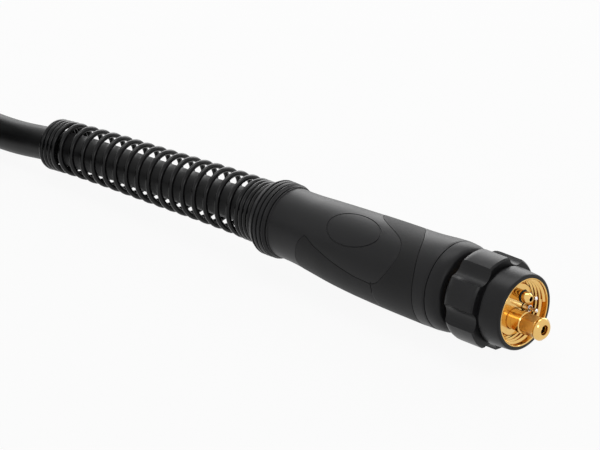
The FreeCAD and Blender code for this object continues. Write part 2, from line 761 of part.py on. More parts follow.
# -------------------------------------------------- cable, ferrule and collar
ferrule = turned(
    "ferrule_blank",
    [
        (f"-{FERRULE}", "spigot_radius + seat"),
        (f"-{FERRULE}", f"{FERRULE_RADIUS} - 0.8"),
        (f"-{FERRULE} - 0.8", FERRULE_RADIUS),
        (f"-{FERRULE_END} + 0.8", FERRULE_RADIUS),
        (f"-{FERRULE_END}", f"{FERRULE_RADIUS} - 0.8"),
        (f"-{FERRULE_END}", "cable_radius + seat"),
        (f"-{INNER_END} + seat", "cable_radius + seat"),
        (f"-{INNER_END} + seat", "spigot_radius + seat"),
    ],
)
node(ferrule, "crimp_ferrule")
node(rod("inner_cable", f"-{EXIT}", f"-{INNER_END}", "cable_radius"), "cable_inner_end")
collar = turned(
    "collar_blank",
    [
        (f"-{COLLAR_END}", "cable_radius + running"),
        (f"-{COLLAR_END}", f"{COLLAR_RADIUS} - 0.8"),
        (f"-{COLLAR_END} + 0.8", COLLAR_RADIUS),
        (f"-{COLLAR_START} - 2.5", COLLAR_RADIUS),
        (f"-{COLLAR_START} - 2.5", f"{SPRING_RADIUS}"),
        (f"-{COLLAR_START} - seat", f"{SPRING_RADIUS}"),
        (f"-{COLLAR_START} - seat", COLLAR_RADIUS),
        (f"-{COLLAR_START} + 3.5", COLLAR_RADIUS),
        (f"-{COLLAR_START} + 3.5", "cable_radius + running"),
    ],
)
node(collar, "spring_collar")


# ----------------------------------------------------------------- wound forms
def biarc(start, leaving, end, arriving):
    """Two tangent arcs from one point and direction to another."""
    across = end - start
    both = leaving + arriving
    spread = 2 * (1 - leaving.dot(arriving))
    along = across.dot(both)
    reach = (-along + math.sqrt(along**2 + spread * across.dot(across))) / spread
    middle = (start + end) * 0.5 + (leaving - arriving) * (reach / 2)
    arcs = []
    for a, corner, b in ((start, start + leaving * reach, middle), (middle, end - arriving * reach, end)):
        chord = (b - a).Length
        mid = (a + b) * 0.5
        half = math.acos(min(1.0, chord / 2 / reach))
        out = corner - mid
        top = mid + out * (chord / 2 * math.tan(half / 2) / out.Length)
        arcs.append(Part.Arc(a, top, b).toShape())
    return arcs


def wound(point, start, end, steps):
    """Tangent arcs through a curve given as point(turns), with its tangents."""
    edges = []
    turns = [start + (end - start) * i / steps for i in range(steps + 1)]
    places = [point(u) for u in turns]
    ways = []
    for u in turns:
        way = point(u + 1e-4) - point(u - 1e-4)
        ways.append(way * (1 / way.Length))
    for i in range(steps):
        edges += biarc(places[i], ways[i], places[i + 1], ways[i + 1])
    return edges


def pipe(edges, radius, sides):
    """A tube along tangent edges, closed at both ends. Its section has many sides."""
    path = Part.Wire(edges)
    first = edges[0]
    begin = first.valueAt(first.FirstParameter)
    way = first.tangentAt(first.FirstParameter)
    over = Vector(0, 0, 1).cross(way)
    over.normalize()
    up = way.cross(over)
    rim = []
    for i in range(sides + 1):
        angle = 2 * math.pi * (i % sides + 0.5) / sides
        rim.append(begin + over * (radius * math.sin(angle)) + up * (radius * math.cos(angle)))
    mouth = Part.makePolygon(rim)
    solid = Part.Solid(path.makePipeShell([mouth], True, False))
    if solid.Volume < 0:
        solid.reverse()
    return solid, path


def least_gap(point, start, end, radius, apart):
    """Least distance between the surfaces of turns of a wound form."""
    count = int((end - start) * 24)
    places = [point(start + (end - start) * i / count) for i in range(count + 1)]
    skip = int(24 * apart)
    best = 1e9
    for i in range(count + 1):
        for k in range(i + skip, min(count + 1, i + 24 * 4)):
            best = min(best, places[i].distanceToPoint(places[k]))
    return best - 2 * radius


def feature(label, shape):
    thing = doc.addObject("Part::Feature", label)
    thing.Shape = shape
    return node(thing, label)


# The spare cable lies in a round coil of two layers. The outer end comes in
# below, the spiral tightens, climbs a layer where it turns back, and opens
# again above.
COIL_TURNS = 1.875
CABLE_SIDES = 10


def coil_point(u):
    """The coil's centre line, u turns from where it climbs to its upper layer."""
    turns = math.sqrt(u * u + 0.0036) - 0.06 * math.exp(-9 * u * u)
    radius = size("coil_radius") + size("2 * cable_radius + coil_gap") * turns
    rise = min(1.0, max(0.0, (u + 0.25) / 0.5))
    rise = rise * rise * (3 - 2 * rise)
    low = size("floor + cable_radius")
    angle = math.radians(90) + 2 * math.pi * (u + COIL_TURNS)
    return Vector(
        size("coil_x") + radius * math.cos(angle),
        size("coil_y") + radius * math.sin(angle),
        low + size("2 * cable_radius + coil_gap") * rise,
    )


cable = size("cable_radius")
coil, coil_path = pipe(wound(coil_point, -COIL_TURNS, COIL_TURNS, 15), cable, CABLE_SIDES)
feature("cable_coil", coil)
coil_gap = least_gap(coil_point, -COIL_TURNS, COIL_TURNS, cable, 0.5)
print("cable coil: least gap %.2f, length %.0f" % (coil_gap, coil_path.Length))


def tube_along(label, points, radius):
    """A cable's free stretch: straight runs joined by tangent arcs."""
    edges = []
    last = points[0]
    for a, corner, b in zip(points, points[1:], points[2:]):
        back = a - corner
        on = b - corner
        half = (math.pi - back.getAngle(on)) / 2
        bend = 0.45 * min(back.Length, on.Length) / math.tan(half)
        cut_back = bend * math.tan(half)
        enter = corner + back * (cut_back / back.Length)
        leave = corner + on * (cut_back / on.Length)
        inward = (back * (1 / back.Length) + on * (1 / on.Length)).normalize()
        top = corner + inward * (bend / math.cos(half) - bend)
        edges.append(Part.LineSegment(last, enter).toShape())
        edges.append(Part.Arc(enter, top, leave).toShape())
        last = leave
        print("%s: turn %.1f degrees, radius %.0f" % (label, math.degrees(2 * half), bend))
    edges.append(Part.LineSegment(last, points[-1]).toShape())
    solid, path = pipe(edges, radius, CABLE_SIDES)
    section = CABLE_SIDES / 2 * radius**2 * math.sin(2 * math.pi / CABLE_SIDES)
    plain = section * path.Length
    print("%s: length %.0f, volume %.4f of section times length" % (label, path.Length, solid.Volume / plain))
    if abs(solid.Volume / plain - 1) > 0.01:
        raise ValueError(label + " is not the volume of its section times its length")
    feature(label, solid)
    return path


LOW = size("floor + cable_radius")
coil_start = coil_point(-COIL_TURNS)
coil_end = coil_point(COIL_TURNS)
lead_points = [
    Vector(-size(EXIT), 0, 0),
    Vector(-200, 0, 0),
    Vector(-237, 0.2, -2.5),
    Vector(-282, 0.5, -4.6),
    Vector(-322, 0.9, -6.9),
    Vector(-360, 1.3, -10.6),
    Vector(-396, 2.4, -14.8),
    Vector(-441, 11.2, LOW),
    coil_start,
]
lead_path = tube_along("cable_lead", lead_points, cable)
# The bend spring is wound loosely round the cable where it leaves the housing,
# with tight turns at both ends.
LEAD_LINE = lead_path.discretize(Distance=2.0)


def cable_centre(x):
    """Where the cable's centre line is at x, straight inside the housing."""
    for a, b in zip(LEAD_LINE, LEAD_LINE[1:]):
        if b.x <= x <= a.x:
            return a + (b - a) * ((a.x - x) / (a.x - b.x))
    return Vector(x, 0, 0)


SPRING_TURNS = [(0.0, "tight"), (5.7, "tight"), (6.8, "open")]
SPRING_TURNS += [(21.8, "open"), (22.9, "tight"), (26.9, "tight")]


def spring_run(u):
    """How far back along the axis the wire has come after u turns."""
    run = 0.0
    pitches = {"tight": size("spring_tight_pitch"), "open": size("spring_open_pitch")}
    for (a, kind), (b, later) in zip(SPRING_TURNS, SPRING_TURNS[1:]):
        upto = min(max(u, a), b)
        rate = (pitches[later] - pitches[kind]) / (b - a)
        run += pitches[kind] * (upto - a) + rate * (upto - a) ** 2 / 2
        if u <= b:
            return run if u >= 0 else run + pitches["tight"] * u
    return run + pitches["tight"] * (u - SPRING_TURNS[-1][0])


def spring_point(u):
    """The wire's centre after u turns: the spring tapers and bends with its cable."""
    behind = size(f"{REAR} - spring_depth") + spring_run(u)
    taper = min(1.0, max(0.0, behind - size(REAR) - 15) / 156)
    outer = size(SPRING_RADIUS) + (size(SPRING_END_RADIUS) - size(SPRING_RADIUS)) * taper
    radius = outer - size("spring_wire") / 2
    angle = math.radians(size("spring_angle")) + 2 * math.pi * u
    lift = size("spring_lift") * min(1.0, max(0.0, behind - size(COLLAR_END)) / 40)
    out = Vector(0, radius * math.sin(angle), radius * math.cos(angle) + lift)
    return cable_centre(-behind) + out


wire = size("spring_wire") / 2
spring, spring_path = pipe(wound(spring_point, 0, SPRING_TURNS[-1][0], 54), wire, 4)
feature("bend_spring", spring)
print("bend spring: least gap %.2f" % least_gap(spring_point, 0, SPRING_TURNS[-1][0], wire, 0.5))

tail_points = [
    coil_end,
    Vector(-373.3, -83.9, 4.6),
    Vector(-380.2, -49.8, 8.0),
    Vector(-408.1, -10.5, 15.0),
    Vector(-453.9, 13.5, 22.0),
    Vector(-552.4, 13.5, 24.4),
    Vector(-592.2, -6.8, 24.2),
    Vector(-618.4, -42.9, 24.0),
    Vector(-625.4, -87.0, 24.2),
    Vector(-611.6, -129.5, 25.0),
    Vector(-583.7, -157.5, 28.0),
    Vector(-557.5, -169.1, 31.5),
    Vector(-538.2, -172.5, 32.5),
    Vector(size("gun_x"), size("gun_y"), size(GUN_Z)),
]
tube_along("cable_tail", tail_points, cable)

# ------------------------------------------------------------------------- gun
# The gun lies on its side on the coil. Its own X runs from the cable to the
# nozzle, and the neck bends towards -Y.
GUN = ("gun_x", "gun_y", GUN_Z)
boot = turned(
    "boot_blank",
    [
        ("0", "cable_radius + seat"),
        ("0", "cable_radius + boot_wall - 0.5"),
        ("0.5", "cable_radius + boot_wall"),
        ("boot_length", "cable_radius + boot_wall + boot_flare"),
        ("boot_length", "cable_radius + seat"),
    ],
)
node(place(boot, *GUN), "gun_cable_boot")
KNUCKLE = "boot_length"
HANDLE = "(boot_length + knuckle_length)"
node(
    rod("gun_cable", "gun_x", f"gun_x + {HANDLE} + 10", "cable_radius", "gun_y", GUN_Z),
    "cable_gun_end",
)
ball = turned(
    "ball_blank",
    [
        (f"{KNUCKLE} + seat", "cable_radius + seat"),
        (f"{KNUCKLE} + seat", "(cable_radius + ball_wall) * 0.9"),
        (f"{KNUCKLE} + knuckle_length * 0.3", "(cable_radius + ball_wall) * 1.04"),
        (f"{KNUCKLE} + knuckle_length * 0.6", "(cable_radius + ball_wall) * 1.04"),
        (f"{HANDLE} - seat", "(cable_radius + ball_wall) * 0.92"),
        (f"{HANDLE} + 6", "(cable_radius + ball_wall) * 0.84"),
        (f"{HANDLE} + 6", "cable_radius + seat"),
    ],
)
node(place(ball, *GUN), "ball_knuckle")


# The handle swells for the palm and narrows at both ends: each ring's place
# as a share of the length, then its width and height as shares of the widest.
HANDLE_RINGS = [
    (0.0, 0.86, 0.92),
    (0.14, 0.93, 0.97),
    (0.4, 0.88, 0.94),
    (0.68, 1.0, 1.0),
    (0.88, 0.9, 0.92),
    (1.0, 0.62, 0.68),
]
rings = []
for i, (share, wide, tall) in enumerate(HANDLE_RINGS):
    ring = doc.addObject("Part::Ellipse", f"handle_ring_{i}")
    ring.setExpression("MajorRadius", bound(f"handle_half_width * {wide}"))
    ring.setExpression("MinorRadius", bound(f"handle_half_height * {tall}"))
    place(ring, f"gun_x + {HANDLE} + handle_length * {share}", "gun_y", GUN_Z, FACING)
    rings.append(ring)
handle = doc.addObject("Part::Loft", "handle_form")
handle.Sections = rings
handle.Solid = True
TIP_END = f"gun_x + {HANDLE} + handle_length"
knuckle_seat = rod(
    "knuckle_seat",
    f"gun_x + {HANDLE} - 5",
    f"gun_x + {HANDLE} + 6.1",
    "(cable_radius + ball_wall) * 0.92 + seat",
    "gun_y",
    GUN_Z,
)
cable_way = rod(
    "cable_way",
    f"gun_x + {HANDLE}",
    f"gun_x + {HANDLE} + 12",
    "cable_radius + seat",
    "gun_y",
    GUN_Z,
)
neck_seat = rod(
    "neck_seat",
    f"{TIP_END} - neck_socket - 2",
    f"{TIP_END} + 5",
    "neck_radius + sleeve_wall + seat",
    "gun_y",
    GUN_Z,
)
PIVOT = (f"{TIP_END} - trigger_place", "gun_y - trigger_aside")
window = block(
    "trigger_window",
    f"{PIVOT[0]} - trigger_length - 3",
    "gun_y - handle_half_width - 5",
    f"{GUN_Z} - trigger_width / 2 - 0.6",
    "trigger_length + 9",
    "handle_half_width + 1",
    "trigger_width + 1.2",
)
SWITCH = (f"{PIVOT[0]} - 36", "gun_y - 4.2", f"{GUN_Z} - switch_height / 2")
switch_bed = block(
    "switch_bed",
    f"{SWITCH[0]} - seat / 2",
    f"{SWITCH[1]}",
    f"{SWITCH[2]} - seat / 2",
    "switch_length + seat",
    "switch_width + seat / 2",
    "switch_height + seat",
)
body_cut = cut("handle_cut", handle, knuckle_seat, cable_way, neck_seat, window, switch_bed)
ROOM = (f"gun_x + {HANDLE} - 5", "gun_y - handle_half_width * 2")
ROOM_SIDES = ("handle_length + 20", "handle_half_width * 4", "handle_half_height * 2")
upper_room = block("upper_room", *ROOM, f"{GUN_Z} + seat / 4", *ROOM_SIDES)
lower_room = block("lower_room", *ROOM, f"{GUN_Z} - handle_half_height * 2 - seat / 4", *ROOM_SIDES)
pin_hole = doc.addObject("Part::Cylinder", "pin_hole")
pin_hole.setExpression("Radius", bound("trigger_pin_radius + seat / 2"))
pin_hole.setExpression("Height", bound("trigger_pin_length + 1"))
place(pin_hole, *PIVOT, f"{GUN_Z} - trigger_pin_length / 2 - 0.5")
for side, room in (("upper", upper_room), ("lower", lower_room)):
    drilled = cut(f"handle_cut_{side}", body_cut, pin_hole)
    node(common(f"handle_{side}_made", drilled, room), f"handle_shell_{side}")
pin = doc.addObject("Part::Cylinder", "trigger_pin_rod")
pin.setExpression("Radius", bound("trigger_pin_radius"))
pin.setExpression("Height", bound("trigger_pin_length"))
node(place(pin, *PIVOT, f"{GUN_Z} - trigger_pin_length / 2"), "trigger_pin")
trigger = padded(
    "trigger_blank",
    [
        ("4", "3"),
        ("-4", "3"),
        ("-trigger_length + 2", "1"),
        ("-trigger_length", "-1"),
        ("-trigger_length", "-7"),
        ("-trigger_length + 5", "-12"),
        ("-trigger_length * 0.55", "-13"),
        ("-6", "-11.5"),
        ("3", "-8"),
        ("4.5", "-3"),
    ],
    "trigger_width",
)
trigger_bore = doc.addObject("Part::Cylinder", "trigger_bore")
trigger_bore.setExpression("Radius", bound("trigger_pin_radius + 0.3"))
trigger_bore.setExpression("Height", bound("trigger_width * 3"))
place(trigger_bore, *PIVOT, f"{GUN_Z} - trigger_width * 1.5")
place(trigger, *PIVOT, GUN_Z)
node(cut("trigger_made", trigger, trigger_bore), "trigger")
node(block("switch_block", *SWITCH, "switch_length", "switch_width", "switch_height"), "micro_switch")


# Swan neck: a straight run, a bend and the straight end that carries the tip.
def swan(name, radius, run, end):
    """A round bar or bore along the neck, from run inside the handle to end past the bend."""
    straight = rod(f"{name}_run", f"{TIP_END} - ({run})", f"{TIP_END} + neck_run", radius, "gun_y", GUN_Z)
    bend = doc.addObject("Part::Torus", f"{name}_bend")
    bend.setExpression("Radius1", bound("neck_bend"))
    bend.setExpression("Radius2", bound(radius))
    bend.setExpression("Angle3", bound("neck_angle"))
    place(
        bend,
        f"{TIP_END} + neck_run",
        "gun_y - neck_bend",
        GUN_Z,
        Rotation(Vector(0, 0, 1), 90 - size("neck_angle")),
    )
    tail = doc.addObject("Part::Cylinder", f"{name}_end")
    tail.setExpression("Radius", bound(radius))
    tail.setExpression("Height", bound(end))
    place(tail, *NECK_END, Rotation(Vector(0, 0, 1), -size("neck_angle")) * Rotation(Vector(0, 1, 0), 90))
    return fused(name, straight, bend, tail)


NECK_END = (
    f"{TIP_END} + neck_run + neck_bend * sin(neck_angle)",
    "gun_y - neck_bend + neck_bend * cos(neck_angle)",
    GUN_Z,
)
AIM = Rotation(Vector(0, 0, 1), -size("neck_angle"))
neck_solid = swan("neck_solid", "neck_radius", "neck_socket", "neck_end")
neck_way = swan("neck_way", "neck_bore", "neck_socket + 1", "neck_end + 1")
node(cut("neck_made", neck_solid, neck_way), "swan_neck")
sleeve_solid = swan("sleeve_solid", "neck_radius + sleeve_wall", "neck_socket - 1", "neck_end - 6")
sleeve_way = swan("sleeve_way", "neck_radius + seat / 2", "neck_socket", "neck_end")
node(cut("sleeve_made", sleeve_solid, sleeve_way), "neck_sleeve")
SEATED = "(neck_end - 5.9)"
insulator = turned(
    "insulator_blank",
    [
        (SEATED, "neck_radius + seat / 2"),
        (SEATED, "nozzle_radius - 0.6"),
        (f"{SEATED} + 0.6", "nozzle_radius"),
        (f"{SEATED} + 7", "nozzle_radius"),
        (f"{SEATED} + 7", "nozzle_radius - nozzle_wall - 0.35"),
        (f"{SEATED} + 18", "nozzle_radius - nozzle_wall - 0.35"),
        (f"{SEATED} + 18", "holder_radius + holder_flange + seat"),
        (f"{SEATED} + 12", "holder_radius + holder_flange + seat"),
        (f"{SEATED} + 12", "neck_radius + seat / 2"),
    ],
)
node(place(insulator, *NECK_END, AIM), "nozzle_insulator")
HOLDER = "(neck_end + 6.2)"
holder = turned(
    "holder_blank",
    [
        ("neck_end + seat", "neck_bore"),
        ("neck_end + seat", "neck_radius - 0.1"),
        (f"{HOLDER}", "neck_radius - 0.1"),
        (f"{HOLDER}", "holder_radius + holder_flange"),
        (f"{HOLDER} + 5", "holder_radius + holder_flange"),
        (f"{HOLDER} + 5", "holder_radius"),
        (f"{HOLDER} + holder_length - 1", "holder_radius"),
        (f"{HOLDER} + holder_length", "holder_radius - 0.8"),
        (f"{HOLDER} + holder_length", "tip_radius - 0.9"),
        (f"{HOLDER} + holder_length - 8", "tip_radius - 0.9"),
        (f"{HOLDER} + holder_length - 8", "neck_bore"),
    ],
)
node(place(holder, *NECK_END, AIM), "tip_holder")
TIP = f"({HOLDER} + holder_length)"
tip = turned(
    "tip_blank",
    [
        (f"{TIP} - 7.5", "tip_bore"),
        (f"{TIP} - 7.5", "tip_radius - 1"),
        (f"{TIP} + seat", "tip_radius - 1"),
        (f"{TIP} + seat", "tip_radius"),
        (f"{TIP} + tip_length - 5", "tip_radius"),
        (f"{TIP} + tip_length - 1", "tip_radius - 0.9"),
        (f"{TIP} + tip_length - 0.2", "tip_radius - 1.4"),
        (f"{TIP} + tip_length", "tip_bore"),
    ],
)
node(place(tip, *NECK_END, AIM), "contact_tip")
NOZZLE = f"({SEATED} + 7.35)"
nozzle = turned(
    "nozzle_blank",
    [
        (NOZZLE, "nozzle_radius - nozzle_wall"),
        (NOZZLE, "nozzle_radius"),
        (f"{NOZZLE} + nozzle_length * 0.55", "nozzle_radius"),
        (f"{NOZZLE} + nozzle_length * 0.85", "nozzle_mouth + 0.4"),
        (f"{NOZZLE} + nozzle_length - 0.4", "nozzle_mouth"),
        (f"{NOZZLE} + nozzle_length", "nozzle_mouth - 0.4"),
        (f"{NOZZLE} + nozzle_length", "nozzle_mouth - nozzle_wall"),
        (f"{NOZZLE} + nozzle_length * 0.85", "nozzle_mouth + 0.4 - nozzle_wall"),
        (f"{NOZZLE} + nozzle_length * 0.55", "nozzle_radius - nozzle_wall"),
    ],
)
node(place(nozzle, *NECK_END, AIM), "gas_nozzle")

# ----------------------------------------------------------- checks and export
doc.recompute()
faults = []
for thing in doc.Objects:
    if "Invalid" in thing.State or "Error" in thing.State:
        faults.append(f"{thing.Name}: {thing.State}")
for thing in NODES:
    shape = thing.Shape
    if shape.isNull() or not shape.isValid() or not shape.Solids:
        faults.append(f"{thing.Label}: no valid solid")
    elif len(shape.Solids) != 1:
        faults.append(f"{thing.Label}: {len(shape.Solids)} solids")
if faults:
    raise ValueError("; ".join(faults))
os.makedirs("parts", exist_ok=True)
for thing in NODES:
    thing.Shape.exportStep(f"parts/{thing.Label}.step")
print(len(NODES), "sub-parts written")
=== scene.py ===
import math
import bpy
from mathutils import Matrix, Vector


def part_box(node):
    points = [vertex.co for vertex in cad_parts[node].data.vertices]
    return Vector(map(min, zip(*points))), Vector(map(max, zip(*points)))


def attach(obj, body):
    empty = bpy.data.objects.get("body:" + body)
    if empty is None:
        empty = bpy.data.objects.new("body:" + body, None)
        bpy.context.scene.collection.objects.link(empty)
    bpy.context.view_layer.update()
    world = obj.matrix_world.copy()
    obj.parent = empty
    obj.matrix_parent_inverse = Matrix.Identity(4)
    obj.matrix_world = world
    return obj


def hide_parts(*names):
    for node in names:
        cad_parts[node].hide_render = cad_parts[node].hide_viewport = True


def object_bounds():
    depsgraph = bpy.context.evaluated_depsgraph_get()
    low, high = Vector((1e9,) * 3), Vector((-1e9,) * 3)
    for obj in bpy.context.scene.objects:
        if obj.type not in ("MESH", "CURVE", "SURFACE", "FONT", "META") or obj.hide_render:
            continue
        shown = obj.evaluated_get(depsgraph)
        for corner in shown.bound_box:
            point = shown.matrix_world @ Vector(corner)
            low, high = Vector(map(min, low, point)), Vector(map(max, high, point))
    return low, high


bl_info = {
    "name": "Welding torch with a central connector",
    "version": (1, 0, 0),
    "blender": (4, 5, 0),
    "location": "View3D > Sidebar > Torch",
    "description": "Builds the looks of a MIG welding torch on its CAD frame, piece by piece",
    "category": "Object",
}

import bpy
from mathutils import Matrix, Vector

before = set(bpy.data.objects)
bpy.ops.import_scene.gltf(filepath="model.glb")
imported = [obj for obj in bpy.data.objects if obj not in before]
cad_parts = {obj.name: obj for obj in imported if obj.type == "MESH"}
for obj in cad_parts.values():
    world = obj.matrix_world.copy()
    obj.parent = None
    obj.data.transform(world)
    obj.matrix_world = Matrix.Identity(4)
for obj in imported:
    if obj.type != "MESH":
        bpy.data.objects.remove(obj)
CAD_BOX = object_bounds()
MM = 0.001
ROOT = "torch"


def span(node):
    """Lowest and highest corner of a CAD node, in millimetres."""
    low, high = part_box(node)
    return low / MM, high / MM


NUT_LOW, NUT_HIGH = span("coupling_nut")
CAP_LOW, CAP_HIGH = span("housing_front_ring")
BOOT_LOW, BOOT_HIGH = span("gun_cable_boot")
HANDLE_LOW, HANDLE_HIGH = span("handle_shell_upper")
FLOOR = CAD_BOX[0].z


# ------------------------------------------------------------------- settings
def length_setting(name, description, default, low, high):
    """A length that a user would change, in millimetres."""
    words = f"{description}, in millimetres"
    return bpy.props.FloatProperty(name=name, description=words, default=default, min=low, max=high)


def colour_setting(name, description, default):
    """A colour that a user would change."""
    words = f"Colour of {description}"
    return bpy.props.FloatVectorProperty(
        name=name, description=words, default=default, size=3, min=0.0, max=1.0, subtype="COLOR"
    )


class TorchSizes(bpy.types.PropertyGroup):
    """Sizes that a user would change, in millimetres and degrees"""

    wire: length_setting("Spring wire", "Diameter of the bend spring's wire", 3.0, 1.0, 3.2)
    cable: length_setting("Cable", "Diameter of the co-axial cable", 19.6, 10.0, 20.0)
    thread_pitch: length_setting("Thread pitch", "Pitch of the coupling thread", 2.4, 1.5, 4.0)
    lobe_edge: length_setting("Lobe rounding", "Rounding along the edges of the nut's lobes", 0.9, 0.2, 1.5)
    split: bpy.props.FloatProperty(
        name="Split angle",
        description="Turn of the housing's halves about the torch's axis",
        default=math.radians(41),
        subtype="ANGLE",
    )


class TorchColours(bpy.types.PropertyGroup):
    """Colours that a user would change"""

    plastic: colour_setting("Hard plastic", "the nut, the housing and the handle", (0.016, 0.016, 0.017))
    grip: colour_setting("Soft grip", "the soft panels on the housing", (0.011, 0.011, 0.0115))
    brass: colour_setting("Brass", "the plug's turned pieces", (0.78, 0.50, 0.17))
    spring: colour_setting("Spring lacquer", "the bend spring", (0.006, 0.006, 0.0065))
    cable: colour_setting("Cable jacket", "the cable", (0.013, 0.013, 0.0135))


def sizes():
    return bpy.context.scene.torch_sizes


def colours():
    return bpy.context.scene.torch_colours


# ---------------------------------------------------------------- shader maths
class Value:
    """A socket of a node tree, on which sums are written as Python writes them."""

    def __init__(self, shade, socket):
        self.shade = shade
        self.socket = socket

    def maths(self, operation, *others):
        return self.shade.add("ShaderNodeMath", {"operation": operation}, dict(enumerate((self, *others))))

    def __add__(self, other):
        return self.maths("ADD", other)

    def __sub__(self, other):
        return self.maths("SUBTRACT", other)

    def __mul__(self, other):
        return self.maths("MULTIPLY", other)

    def __rsub__(self, other):
        return self.shade.add("ShaderNodeMath", {"operation": "SUBTRACT"}, {0: other, 1: self})

    __radd__ = __add__
    __rmul__ = __mul__

    def between(self, low, high):
        """How far this has come from low to high, held to 0 and 1."""
        limits = {"From Min": low, "From Max": high}
        return self.shade.add("ShaderNodeMapRange", {"clamp": True}, {"Value": self, **limits})


class Shade:
    """The nodes of a new material or world, and the one method that adds to them."""

    def __init__(self, owner):
        self.owner = owner
        owner.use_nodes = True
        self.nodes = owner.node_tree.nodes
        self.links = owner.node_tree.links
        self.nodes.clear()

    def add(self, kind, settings, inputs, out=0):
        """Adds a node, sets it up, links or sets its inputs and returns one output."""
        node = self.nodes.new(kind)
        for name, value in settings.items():
            setattr(node, name, value)
        for name, value in inputs.items():
            if isinstance(value, Value):
                self.links.new(value.socket, node.inputs[name])
            else:
                node.inputs[name].default_value = value
        return Value(self, node.outputs[out])

    def noise(self, scale, detail=2.0, roughness=0.5, stretch=None):
        """Noise from 0 to 1 with so many cells to the metre."""
        place = self.add("ShaderNodeTexCoord", {}, {}, "Object")
        if stretch:
            place = self.add("ShaderNodeMapping", {}, {"Vector": place, "Scale": stretch})
        inputs = {"Vector": place, "Scale": scale, "Detail": detail, "Roughness": roughness}
        return self.add("ShaderNodeTexNoise", {}, inputs, "Fac")

    def tint(self, share, first, second):
        """Goes from the first colour to the second as share goes from 0 to 1."""
        ends = {6: (*first, 1), 7: (*second, 1)}
        return self.add("ShaderNodeMix", {"data_type": "RGBA"}, {0: share, **ends}, 2)

    def bump(self, height, strength, distance):
        return self.add("ShaderNodeBump", {}, {"Height": height, "Strength": strength, "Distance": distance})

    def white_on_sight(self):
        """1 on rays from the camera, off gloss and through clear pieces, otherwise 0."""
        seen = self.add("ShaderNodeLightPath", {}, {}, "Is Camera Ray")
        for ray in ("Is Glossy Ray", "Is Transmission Ray"):
            seen = seen.maths("MAXIMUM", self.add("ShaderNodeLightPath", {}, {}, ray))
        return seen

    def end_with(self, shader, kind="ShaderNodeOutputMaterial"):
        """Leads a shader to the output and returns the finished material or world."""
        end = self.nodes.new(kind)
        self.links.new(shader.socket, end.inputs["Surface"])
        return self.owner

    def surface(self, **inputs):
        """Closes the material with one Principled BSDF."""
        spaced = {name.replace("_", " "): value for name, value in inputs.items()}
        return self.end_with(self.add("ShaderNodeBsdfPrincipled", {}, spaced))


def new_material(name):
    return Shade(bpy.data.materials.new(name))


MATERIALS = {}


def material(name):
    """Each finish is made once, when the first piece asks for it."""
    if name not in MATERIALS:
        make, _ = FINISHES[name]
        MATERIALS[name] = make(name)
    return MATERIALS[name]


def lighter(colour, by):
    return tuple(min(1.0, c * by) for c in colour)


def moulding(name, colour, rough, grain, depth, wear):
    """Moulded plastic or rubber: spark-eroded grain, faint flow marks, edges rubbed pale."""
    shade = new_material(name)
    fine = shade.noise(grain, 3.0, 0.6)
    flow = shade.noise(45.0, 2.0)
    edge = shade.add("ShaderNodeNewGeometry", {}, {}, "Pointiness").between(0.51, 0.62)
    rubbed = edge * flow.between(0.3, 0.8) * wear
    return shade.surface(
        Base_Color=shade.tint(rubbed + (flow - 0.5) * 0.25, colour, lighter(colour, 2.6)),
        Roughness=fine * 0.10 + flow * 0.10 + (rough - 0.10) - rubbed * 0.1,
        Specular_IOR_Level=0.2,
        Normal=shade.bump(fine, 1.0, depth * MM),
    )


def hard_plastic(name):
    return moulding(name, colours().plastic, 0.40, 2300.0, 0.018, 0.5)


def nut_plastic(name):
    return moulding(name, colours().plastic, 0.34, 1700.0, 0.014, 0.8)


def soft_grip(name):
    return moulding(name, colours().grip, 0.56, 1900.0, 0.05, 0.3)


def ring_rubber(name):
    return moulding(name, colours().grip, 0.35, 3000.0, 0.01, 0.0)


def metal(name, colour, rough, depth, stretch=(1.0, 1.0, 1.0)):
    """Turned or drawn metal: fine tool marks, soft stains that dull it a little."""
    shade = new_material(name)
    marks = shade.noise(900.0, 2.0, 0.6, stretch)
    stain = shade.noise(160.0, 3.0)
    dull = stain.between(0.5, 0.8)
    return shade.surface(
        Base_Color=shade.tint(dull * 0.35, colour, lighter(colour, 0.8)),
        Metallic=1.0,
        Roughness=marks * 0.08 + dull * 0.08 + (rough - 0.04),
        Normal=shade.bump(marks, 0.5, depth * MM),
    )


def polished_brass(name):
    return metal(name, colours().brass, 0.13, 0.004, (6.0, 1.0, 1.0))


def brushed_brass(name):
    return metal(name, lighter(colours().brass, 1.06), 0.30, 0.002, (0.08, 1.0, 1.0))


def bright_steel(name):
    return metal(name, (0.83, 0.83, 0.85), 0.12, 0.003)


def liner_steel(name):
    return metal(name, (0.55, 0.56, 0.58), 0.3, 0.02, (6.0, 1.0, 1.0))


def copper(name):
    return metal(name, (0.87, 0.50, 0.36), 0.22, 0.008, (6.0, 1.0, 1.0))


def nickel(name):
    return metal(name, (0.66, 0.64, 0.60), 0.2, 0.01)


def lacquer(name):
    """Gloss black lacquer on spring wire, thin enough to show the drawn wire's waves."""
    shade = new_material(name)
    waves = shade.noise(420.0, 2.0)
    return shade.surface(
        Base_Color=shade.tint(waves.between(0.35, 0.9), colours().spring, lighter(colours().spring, 2.0)),
        Roughness=waves * 0.08 + 0.14,
        Specular_IOR_Level=0.22,
        Normal=shade.bump(waves, 0.6, 0.02 * MM),
    )


def jacket(name):
    """Extruded rubber: satin, with faint die lines along it and a little chalk."""
    shade = new_material(name)
    lines = shade.noise(700.0, 2.0, 0.5, (0.05, 1.0, 1.0))
    chalk = shade.noise(130.0, 4.0)
    dusty = chalk.between(0.55, 0.8)
    return shade.surface(
        Base_Color=shade.tint(dusty * 0.4, colours().cable, lighter(colours().cable, 2.2)),
        Roughness=lines * 0.08 + dusty * 0.1 + 0.40,
        Specular_IOR_Level=0.22,
        Normal=shade.bump(lines, 0.5, 0.03 * MM),
    )


